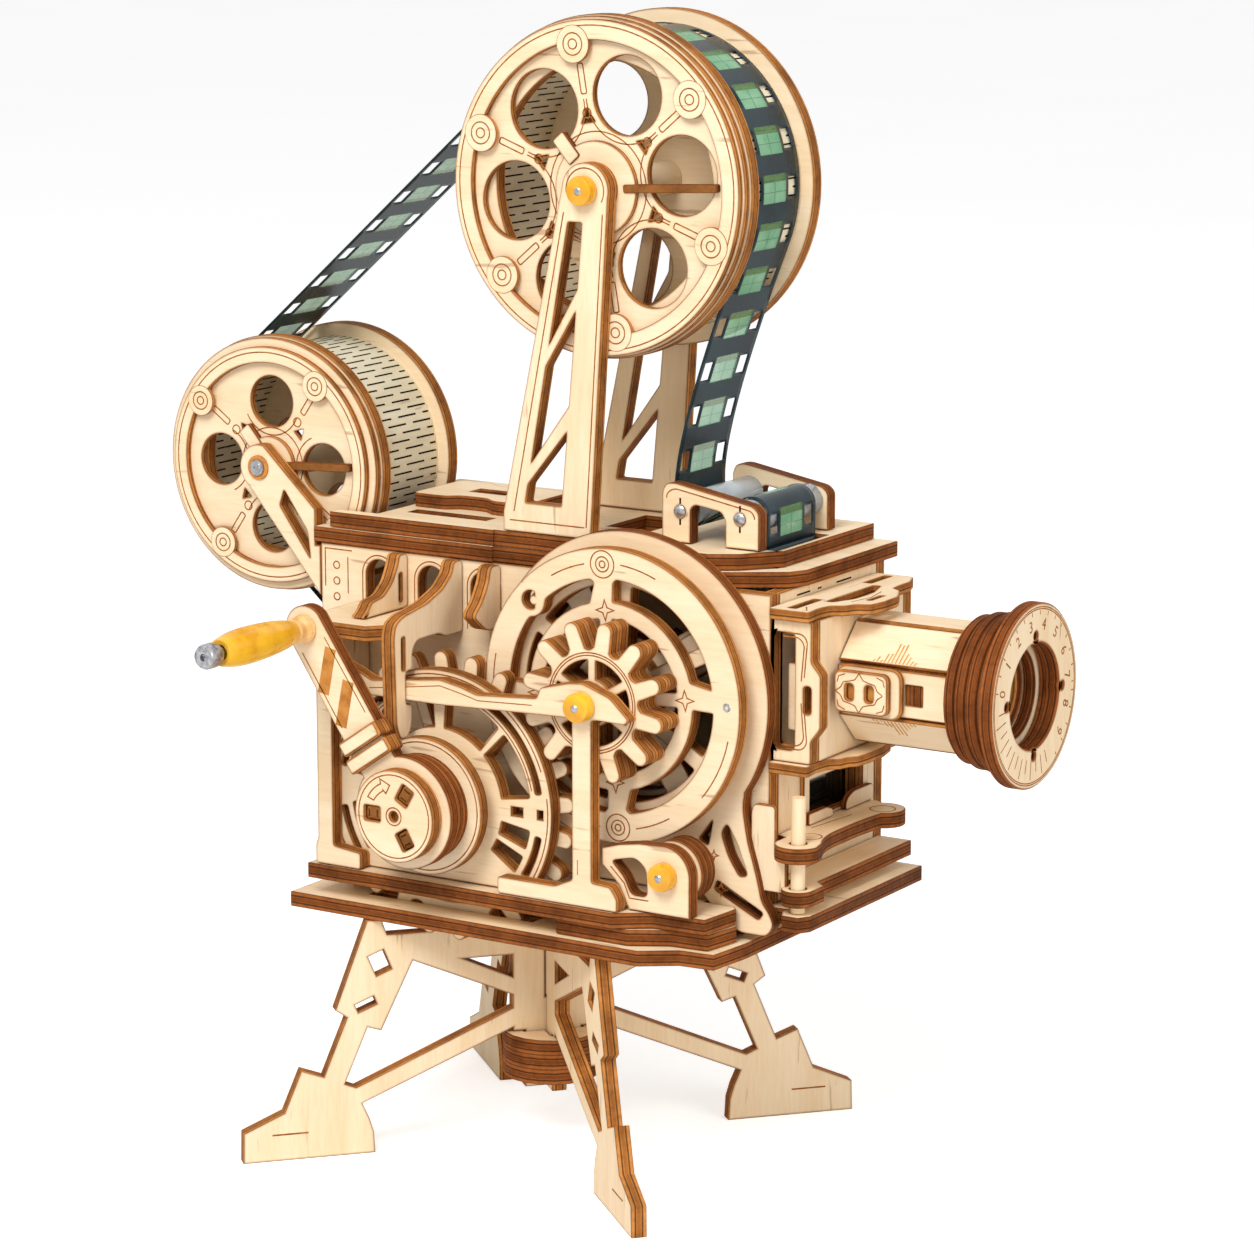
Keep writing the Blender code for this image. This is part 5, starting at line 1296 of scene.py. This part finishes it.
route = np.concatenate([gate, curve(13.3, 280, 225, CRANK, 3.0),
                        [(-48.0, 131.0), (-60.0, 138.4), (-68.0, 140.4), (-77.0, 141.6)],
                        curve(rear_r, 275, leave, REAR_REEL, 1.0), on_reel[:-1], slack[:-1],
                        curve(wrap + 0.5, 190, 285, left_roller, 5.0),
                        curve(wrap, 125, 5, right_roller, 5.0)])
route = shut(route)
run = np.concatenate([[0.0], np.cumsum(np.linalg.norm(np.diff(route, axis=0), axis=1))])
pictures = round(run[-1] / PICTURE_LONG)
print("film", round(run[-1]), "mm long with", pictures, "pictures")

# %% [markdown]
# The strip is a grid: along it each picture is split so that the punched holes fall between grid
# lines, and across it there are eight bands. A point is the route, pushed out by a quarter
# millimetre. The cells of the holes are left out, and Solidify gives the rest its thickness.

# %% Film strip
HOLE_FROM, HOLE_TO = 0.294, 0.706
share = np.concatenate([np.linspace(0.0, HOLE_FROM, 5)[:-1], np.linspace(HOLE_FROM, HOLE_TO, 9)[:-1],
                        np.linspace(HOLE_TO, 1.0, 5)[:-1]])
turns_at = np.append((np.arange(pictures)[:, None] + share[None]).ravel(), pictures)
place = turns_at / pictures * run[-1]
middle = np.stack([np.interp(place, run, route[:, k]) for k in (0, 1)], axis=1)
heading = unit(np.gradient(middle, axis=0))
middle = middle + np.stack([-heading[:, 1], heading[:, 0]], axis=1) * 0.25
across = np.array([0.0, 0.07, 0.23, 0.28, 0.5, 0.72, 0.77, 0.93, 1.0])
deep = 1.9 + across * 25.6
columns = len(across)
points = np.stack([np.repeat(middle[:, 0], columns), np.tile(deep, len(middle)),
                   np.repeat(middle[:, 1], columns)], axis=1)
row, column = np.meshgrid(np.arange(len(middle) - 1), np.arange(columns - 1), indexing="ij")
part = share[row % len(share)]
hole = np.isin(column, (1, 6)) & (part >= HOLE_FROM) & (part < HOLE_TO)
first = (row * columns + column)[~hole]
cells = np.stack([first, first + 1, first + columns + 1, first + columns], axis=1)
strip = bpy.data.meshes.new("film_strip_punched")
strip.from_pydata(((points + OFFSET) * MM).tolist(), [], cells.tolist())
store(strip, "run", np.repeat(turns_at, columns))
store(strip, "across", np.tile(across, len(middle)))
strip.materials.append(FILM)
strip.shade_smooth()
film = add_object("film_strip_punched", strip)
wall = film.modifiers.new("thickness", "SOLIDIFY")
wall.thickness = 0.3 * MM
wall.offset = 0.0
fit("film_strip", [film])
print(len(cells), "cells in the film")

# %% [markdown]
# ## Rollers
# Two clear plastic tubes on steel pins guide the film down into the roof. Their brackets have
# a sloping top, a burnt inner line and a doorway that is open at the roof.

# %% Rollers and their brackets
doorway = soften([(56.9, foot), (56.9, foot + 7.0), (55.6, foot + 9.2), (47.6, foot + 10.4),
                  (46.2, foot + 9.2), (46.2, foot)], 0.9)
shoulders = soften([(67.0, foot), (67.0, foot + 10.0), (65.2, foot + 11.6), (41.2, foot + 15.8),
                    (38.6, foot + 15.4), (37.5, foot + 13.2), (37.5, foot)], 1.4, 5)
outline = np.concatenate([[(67.0, foot)], shoulders[6:-6], [(37.5, foot), (46.2, foot)],
                          doorway[::-1][5:-5], [(56.9, foot)]])
for side, at in (("near", ROLLER_NEAR), ("far", FAR_SUPPORT)):
    fit_sheet(side + "_roller_bracket", "y", at, outline,
              [ring(1.6, left_roller), ring(1.6, right_roller)], edge=DARK_EDGE)
inner = soften([(38.9, foot), (38.9, foot + 12.8), (41.2, foot + 14.3), (64.6, foot + 10.3), (65.7, foot + 9.0),
                (65.7, foot)], 1.6, 4)[5:-5]
slits = [[(u, v + side * 2.0), (u, v + side * 3.6)]
         for u, v in (left_roller, right_roller) for side in (-1, 1)]
burn("near_roller_bracket_lines", "y", ROLLER_NEAR, -1, [inner], "near_roller_bracket")
# The short near-black bars by each pin are painted shade in the bracket's slots.
burn("near_roller_bracket_slots", "y", ROLLER_NEAR, -1, slits, "near_roller_bracket", 0.55, PAINTED_SHADE)
near, far = ROLLER_NEAR + PITCH, FAR_SUPPORT - GAP
back = far + SHEET
clear = [(3.3, near), (4.2, near), (ROLLER_R, near + 0.3), (ROLLER_R, far - 0.3), (4.2, far), (3.3, far),
         (3.3, near)]
pin = [(0.0, -4.3), (1.3, -4.2), (1.7, -3.9), (1.7, -3.5), (1.2, -3.5), (1.2, back + 0.8),
       (1.7, back + 0.9), (1.7, back + 1.4), (0.0, back + 1.5)]
for node, centre in (("left_roller", left_roller), ("right_roller", right_roller)):
    fit(node, [turn(node + "_tube", "y", centre, clear, CLEAR, 48),
               turn(node + "_pin", "y", centre, pin, STEEL, 28)])
print("rollers", round(far - near, 1), "mm long")

# %% [markdown]
# ## The lens
# The housing is boxed from four sheets: a side plate near and far with a stepped bulge and a long
# slot, a face plate with the round opening, and a notched flange above and below. The near plate
# stands in line with the case's near wall, further out than the CAD model's plain box.

# %% Lens housing
y0, z0 = LENS
BOX_LOW, BOX_HIGH = 118.7, 156.2
BOX_BACK, BOX_FRONT = FRONT_X + GAP, 88.0
SIDE_Y = -12.3
FLANGE_THICK = 2.8
FLANGE_Z = BOX_HIGH + 0.2
side = soften([(BOX_BACK, BOX_LOW), (BOX_FRONT, BOX_LOW), (BOX_FRONT, 124.8), (90.8, 128.4), (90.8, 142.4),
               (BOX_FRONT, 145.6), (BOX_FRONT, BOX_HIGH), (BOX_BACK, BOX_HIGH)], 0.8, 3)
slots = [soften(bar(6.6, 31.0, (79.9, 137.4)), 1.6), soften(bar(2.3, 7.4, (86.9, 135.6)), 1.1)]
block = soften([(78.5, 126.0), (81.8, 126.0), (82.4, 144.0), (78.5, 144.0)], 0.8)
housing = [cut_sheet("lens_side_near", "y", SIDE_Y, side, slots, grain="z"),
           cut_sheet("lens_side_far", "y", 37.4, side, slots, grain="z"),
           cut_sheet("lens_face", "x", BOX_FRONT - SHEET, panel(-8.0, 37.3, BOX_LOW, BOX_HIGH),
                     [ring(13.0, LENS)]),
           cut_sheet("lens_inner_block", "y", -7.6, block, edge=DARK_EDGE, thick=3.0)]
fit("lens_box", housing)
scroll = np.concatenate([[(80.6, 152.9)], curve(2.6, 90, 0, (84.2, 150.3), 10.0),
                         [(86.4, 146.0), (86.0, 141.5)]])
scroll_low = scroll * [1, -1] + [0, 275.2]
burn("lens_side_lines", "y", SIDE_Y, -1,
     [scroll, scroll_low, scroll + [-0.9, -1.0], scroll_low + [-0.9, 1.0]], "lens_box")
flange = np.array([(BOX_BACK, -14.4), (88.2, -14.4), (87.6, -7.8), (88.4, -3.2), (91.6, -1.6), (93.0, 1.8),
                   (96.6, 3.4), (97.6, 9.0), (97.4, 16.8), (94.0, 24.0), (90.9, 25.8), (90.4, 31.0),
                   (90.4, 36.6), (88.0, 42.8), (BOX_BACK, 42.8)])
upper_cuts = [soften(bar(2.4, 14.0, (81.6, -4.5)), 0.6), soften(bar(2.4, 12.0, (81.6, 34.5)), 0.6),
              soften([(84.6, 1.0), (86.6, 1.0), (89.4, 8.0), (89.4, 18.0), (86.6, 27.0), (84.6, 27.0)], 0.9),
              soften(bar(1.4, 8.0, (93.4, 12.0)), 0.6)]
fit_sheet("lens_upper_flange", "z", FLANGE_Z, soften(flange, 1.2), upper_cuts, grain="y",
          thick=FLANGE_THICK)
burn("lens_flange_lines", "z", FLANGE_Z + FLANGE_THICK, 1,
     [[(90.6, 4.0), (92.0, 12.0), (90.6, 20.0)], [(86.4, -12.0), (84.0, -8.0)]], "lens_upper_flange")
flange[:, 0] = np.minimum(flange[:, 0], 90.0 + (flange[:, 0] - 90.0) * 0.5)
fit_sheet("lens_lower_flange", "z", 115.7, soften(flange, 1.2), grain="y", thick=FLANGE_THICK)
print("lens housing", len(housing), "sheets")

# %% [markdown]
# The barrel is eight narrow boards round the axis. Each is cut as the near one and then turned
# about the lens's axis by an eighth more; thin brown joints stay between them. Small rays are burnt
# above and below the focus plate.

# %% Lens barrel


def twist(piece, axis, centre, degrees):
    """Turn a piece's mesh about an axis through a centre, both in the sheet's own plane."""
    mesh = piece.data
    points = points_of(mesh) / MM - OFFSET
    pair = {"x": (1, 2), "y": (0, 2), "z": (0, 1)}[axis]
    flat = points[:, pair] - centre
    c, s = math.cos(math.radians(degrees)), math.sin(math.radians(degrees))
    points[:, pair[0]] = flat[:, 0] * c - flat[:, 1] * s + centre[0]
    points[:, pair[1]] = flat[:, 0] * s + flat[:, 1] * c + centre[1]
    write_points(mesh, points)
    mesh.update()
    return piece


BOARD_Y = y0 - 16.5
BOARD_LONG = 31.6
boards = []
for k in range(8):
    cuts = [soften(bar(5.0, 5.4, (110.6, z0)), 0.3, 2)] if k == 0 else ()
    board = cut_sheet(f"barrel_board_{k}", "y", BOARD_Y, bar(BOARD_LONG, 12.1, (104.1, z0)), cuts,
                      thick=3.0, halo=0.4)
    boards.append(twist(board, "x", LENS, 45.0 * k))
core = turn("barrel_core", "x", LENS, tube(12.95, 16.2, 88.3, 119.9), DARK_EDGE, 48)
fit("lens_barrel", boards + [core])
at = np.linspace(98.0, 110.0, 12)
tall = 1.0 + 5.4 * np.exp(-((at - 104.6) / 2.6) ** 2) + 0.7 * np.cos(at * 3.1)
for name, turn_by, sign in (("upper", -45.0, 1), ("lower", 45.0, -1)):
    foot_z = z0 - 5.6 * sign
    rays = [[(a, foot_z), (a + 0.5, foot_z + sign * high)] for a, high in zip(at, tall)]
    twist(burn("barrel_rays_" + name, "y", BOARD_Y, -1, rays, "lens_barrel", 0.42, TOAST),
          "x", LENS, turn_by)
print("eight boards and", 2 * len(at), "rays")

# %% [markdown]
# The focus plate is a knob of two rounded layers, with two oblong eyes and a pointed ornament.

# %% Focus plate
FOCUS_Y = -3.0
base = cut_sheet("focus_base", "y", FOCUS_Y + 2.1, soften(bar(18.8, 13.4, (98.6, z0)), 3.4, 6),
                 thick=2.1, chamfer=0.35)
eyes = [soften(bar(2.3, 4.3, (96.9 + e, z0)), 1.0) for e in (-2.9, 2.9)]
top = cut_sheet("focus_top", "y", FOCUS_Y, soften(bar(15.6, 11.0, (97.4, z0)), 2.2, 6), eyes,
                thick=2.1, chamfer=0.3)
pupils = [cut_sheet(f"focus_eye_{k}", "y", FOCUS_Y + 1.5, eye, thick=0.7, chamfer=0.1, halo=0.3)
          for k, eye in enumerate(eyes)]
for pupil in pupils:
    pupil.data.materials[0] = BROWN_BAND
fit("focus_plate", [base, top, *pupils])
half = np.array([(-7.0, 0.0), (-5.4, 1.0), (-4.6, 2.6), (-3.0, 2.9), (-1.2, 3.4), (0.0, 5.2)])
wave = np.concatenate([half, half[-2::-1] * [-1, 1]])
lobes = np.concatenate([wave, wave[-2:0:-1] * [1, -1]])
quarters = [np.array([x_side, z_side]) for x_side in (-1, 1) for z_side in (-1, 1)]
corner_marks = [[(6.9, 2.4), (6.5, 4.0), (4.6, 4.7)] * quarter + [97.4, z0] for quarter in quarters]
burn("focus_lines", "y", FOCUS_Y, -1, [shut(soften(lobes, 0.35, 2)) + [96.9, z0]] + corner_marks,
     "focus_plate", wide=0.3)
print("focus plate ready")

# %% [markdown]
# The hood is a stack of dark rings with a dial in front. The dial's opening steps inward round four
# small screw holes, and it has ticks and plain numbers. The hood, its neck and the glass slide in
# the barrel together.

# %% Hood, dial and glass
QUARTERS = (0, 90, 180, 270)
SCREW_AT = 15.8
angles = np.arange(144) * 2.5
lobed = spot(1.0, angles) * swollen(13.9, [(SCREW_AT, a, 2.4) for a in QUARTERS], angles)[:, None]
dial_holes = [lobed] + [ring(1.1, spot(SCREW_AT, a)) for a in QUARTERS]
layers = [(120.3, 3.6, 19.6, [ring(10.8)], 0.8), (123.9, 3.6, 20.6, [ring(10.8)], 0.8),
          (127.5, 3.4, 21.0, [ring(11.6)], 0.8), (131.2, 2.0, 19.6, [ring(13.9)], 0.35),
          (DIAL_X - 3.9, 3.9, DIAL_R, dial_holes, 0.35)]
rings = [cut_sheet(f"hood_ring_{k}", "x", at, ring(radius), holes, LENS, thick=thick, edge=HOOD_EDGE,
                   chamfer=chamfer) for k, (at, thick, radius, holes, chamfer) in enumerate(layers)]
# The neck is near-black: painted shade down the bore behind the rings.
neck = turn("hood_neck", "x", LENS, tube(10.8, 12.7, 103.0, 120.3), PAINTED_SHADE, 48)
fit("lens_hood", rings + [neck])
lens_ring = [(9.3, 124.6), (10.7, 124.6), (10.7, 126.4), (9.6, 126.4), (9.3, 124.6)]
belongs(turn("lens_ring", "x", LENS, lens_ring, EDGE, 56), "focus_tube", "birch_plywood")
glass = [(0.0, 120.0), (4.0, 120.3), (8.0, 121.2), (10.5, 122.4), (10.5, 123.4), (8.0, 124.4), (4.0, 125.3),
         (0.0, 125.6)]
fit("lens_glass", [turn("lens_glass_turned", "x", LENS, glass, LENS_GLASS, 56)])
ticks = [shut(ring(22.7)), shut(ring(23.2))]
ticks += [np.stack([spot(16.6, a), spot(21.9 if a % 2 else 20.2, a)]) for a in range(184, 294, 9)]
ticks += [np.stack([spot(21.2, a), spot(22.3, a)]) for a in [*range(306, 360, 12), *range(0, 180, 12)]]
burn("dial_lines", "x", DIAL_X, 1, [line + LENS for line in ticks], "lens_hood", wide=0.28)
print(len(ticks), "marks on the dial")

# %% [markdown]
# Numbers are text turned into a mesh. Each stands upright on the dial with its foot to the middle.

# %% Dial numbers


def number(text, angle, radius, size):
    """A number as a thin mesh whose foot points to the dial's middle."""
    words = bpy.data.curves.new("number_" + text, "FONT")
    words.body, words.size, words.extrude = text, size, 0.09
    words.align_x, words.align_y = "CENTER", "CENTER"
    words.resolution_u = 2
    maker = add_object("number", words)
    bpy.context.view_layer.update()
    mesh = bpy.data.meshes.new_from_object(maker)
    bpy.data.objects.remove(maker)
    points = points_of(mesh)
    flat = turned(points[:, :2] + [0.0, radius], angle - 90.0, LENS)
    write_points(mesh, np.stack([DIAL_X - 0.05 + points[:, 2], flat[:, 0], flat[:, 1]], axis=1))
    mesh.materials.clear()
    mesh.materials.append(LINE)
    welded = bmesh.new()
    welded.from_mesh(mesh)
    bmesh.ops.remove_doubles(welded, verts=welded.verts[:], dist=0.0000002)
    bmesh.ops.recalc_face_normals(welded, faces=welded.faces[:])
    welded.to_mesh(mesh)
    welded.free()
    belongs(add_object(f"dial_number_{text}", mesh), "focus_tube", "scorched_plywood")


for k in range(10):
    number(str(k), 168.0 - 23.0 * k, radius=18.6, size=4.4)
print("ten numbers on the dial")

# %% [markdown]
# Under the lens: a dark pane in a frame, two small fences, a thin panel, the curved shelf with its
# round lugs, the plate under it and the round post that goes through both.

# %% Under the lens
pane = cut_sheet("window_pane", "x", 70.0, panel(4.6, 37.0, 96.4, 111.0), thick=1.5)
pane.data.materials[0] = pane.data.materials[1] = GLASS
fit("window_glass", [pane])
near_fence = soften([(3.0, 98.0), (16.4, 98.0), (15.8, 100.2), (12.6, 101.2), (3.0, 101.2)], 0.8)
far_fence = soften([(22.6, 98.0), (38.2, 98.0), (38.2, 102.6), (27.0, 102.6), (23.4, 101.0)], 1.6)
post_panel = soften([(71.8, 84.0), (82.2, 84.0), (82.2, 93.4), (79.0, 93.4), (79.0, 107.0), (72.6, 107.0),
                     (71.8, 105.0)], 1.2)
trim = [cut_sheet("window_frame", "x", FRONT_X + 0.05, panel(3.4, 38.2, 98.0, 111.4),
                  [panel(6.4, 35.2, 99.0, 109.4)], thick=1.3, halo=0.4),
        cut_sheet("fence_near", "x", 77.5, near_fence, thick=1.6, edge=DARK_EDGE, halo=0.4),
        cut_sheet("fence_far", "x", 77.5, far_fence, thick=1.6, edge=DARK_EDGE, halo=0.4),
        cut_sheet("post_panel", "y", -14.6, post_panel, thick=1.8, grain="z", halo=0.4)]
for piece in trim:
    belongs(piece, BODY_OF["front_wall"], SLOT_OF["front_wall"])
left = BOX_BACK
SHELF_Z = 93.7
shelf = np.concatenate([[(left, -9.0), (79.4, -10.0)], curve(6.2, 170, 350, POST, 8.0),
                        bend((91.6, -12.0), (87.4, -6.0), (87.4, 4.0), 10)[1:],
                        bend((87.4, 8.0), (87.4, 18.0), (88.4, 25.4), 10),
                        curve(6.0, -66, 120, (86.0, 31.0), 8.0), [(81.0, 37.4), (left, 37.4)]])
fit_sheet("lens_shelf", "z", SHELF_Z, shelf, [ring(2.2, POST)], grain="y", edge=DARK_EDGE)
burn("lens_shelf_lines", "z", SHELF_Z + SHEET, 1,
     [shut(ring(3.4, (86.4, 30.0))), shut(ring(3.2, (84.6, -6.2))), [(80.4, 2.0), (82.4, 20.0)]], "lens_shelf")
plate = np.concatenate([[(left, -7.6), (81.0, -7.6)], curve(4.4, 170, 360, POST, 8.0),
                        [(90.0, -8.0), (86.6, -5.0), (86.6, 46.0), (left, 46.0)]])
fit_sheet("lens_side_plate", "z", WALL_Z + 2.1, plate, [ring(2.2, POST)], grain="y", edge=DARK_EDGE)
fit("corner_post", [turn("corner_post_turned", "z", POST, rod(1.9, WALL_Z, 110.2), FACE_Z, 32)])
print("window, shelf and post ready")

# %% [markdown]
# The feet of the stand carry one short burnt line each, on both faces of both frames.

# %% Lines on the feet
for node, degrees in (("leg_frame_front", 48.0), ("leg_frame_side", -42.0)):
    for facing in (-1, 1):
        strokes = [[(side * 69.0, 7.4), (side * 79.0, 7.4)] for side in (-1, 1)]
        lines = burn(f"{node}_lines_{facing + 1}", "y", facing * SHEET / 2, facing, strokes, node, 0.45)
        twist(lines, "z", (0.0, 0.0), degrees)
print("feet marked")

# %% [markdown]
# The studio is a wide pale floor under an even white sky, with one lamp high in front and a weaker
# one on the right. The camera sees the sky as plain white, and the floor glows a little for the
# camera alone, so that it is white too and yet keeps the object's shadow.

# %% Floor and light
FLOOR_HALF = 6.0
SKY = 0.5
GLOW = 0.5
WHITE = (1.0, 1.0, 1.0, 1.0)
floor_mesh = bpy.data.meshes.new("floor")
corners = [(x, y, 0.0) for x, y in panel(-FLOOR_HALF, FLOOR_HALF, -FLOOR_HALF, FLOOR_HALF)]
floor_mesh.from_pydata(corners, [], [(0, 1, 2, 3)])
paper, t, shader = principled("floor_paper", Roughness=0.9, Specular_IOR_Level=0.0)
cloud = t.noise(t.here(), 4.0)
t.feed(shader.inputs["Base Color"], t.mix(cloud, (0.86, 0.86, 0.86, 1), (0.9, 0.9, 0.9, 1)))
shader.inputs["Emission Color"].default_value = WHITE
seen = t.add("ShaderNodeLightPath").outputs["Is Camera Ray"]
t.feed(shader.inputs["Emission Strength"], t.times(seen, GLOW))
floor_mesh.materials.append(paper)
add_object("floor", floor_mesh)

world = bpy.data.worlds.new("studio")
bpy.context.scene.world = world
world.use_nodes = True
w = Tree(world.node_tree)
backdrop = world.node_tree.nodes["Background"]
path = w.add("ShaderNodeLightPath").outputs
seen = w.math("MAXIMUM", path["Is Camera Ray"],
              w.math("MAXIMUM", path["Is Glossy Ray"], path["Is Transmission Ray"]))
w.feed(backdrop.inputs["Strength"], w.plus(w.times(seen, 1.0 - SKY), SKY))
backdrop.inputs["Color"].default_value = WHITE


def lamp(name, azimuth, elevation, distance, size, power):
    """A square area lamp that looks at the middle of the object from a given direction."""
    light = bpy.data.lights.new(name, "AREA")
    light.size = size
    light.energy = power
    rows = look(math.radians(azimuth), math.radians(elevation))
    made = add_object(name, light)
    made.matrix_world = aimed(rows, rows[2] * distance + np.array([0.0, 0.0, 0.15]))


lamp("key", azimuth=8.0, elevation=46.0, distance=1.6, size=0.7, power=21.0)
lamp("fill", azimuth=78.0, elevation=25.0, distance=1.8, size=0.9, power=9.0)
print("floor, sky and two lamps")

# %% [markdown]
# Last, the view layer is brought up to date.

# %% Finish
bpy.context.view_layer.update()
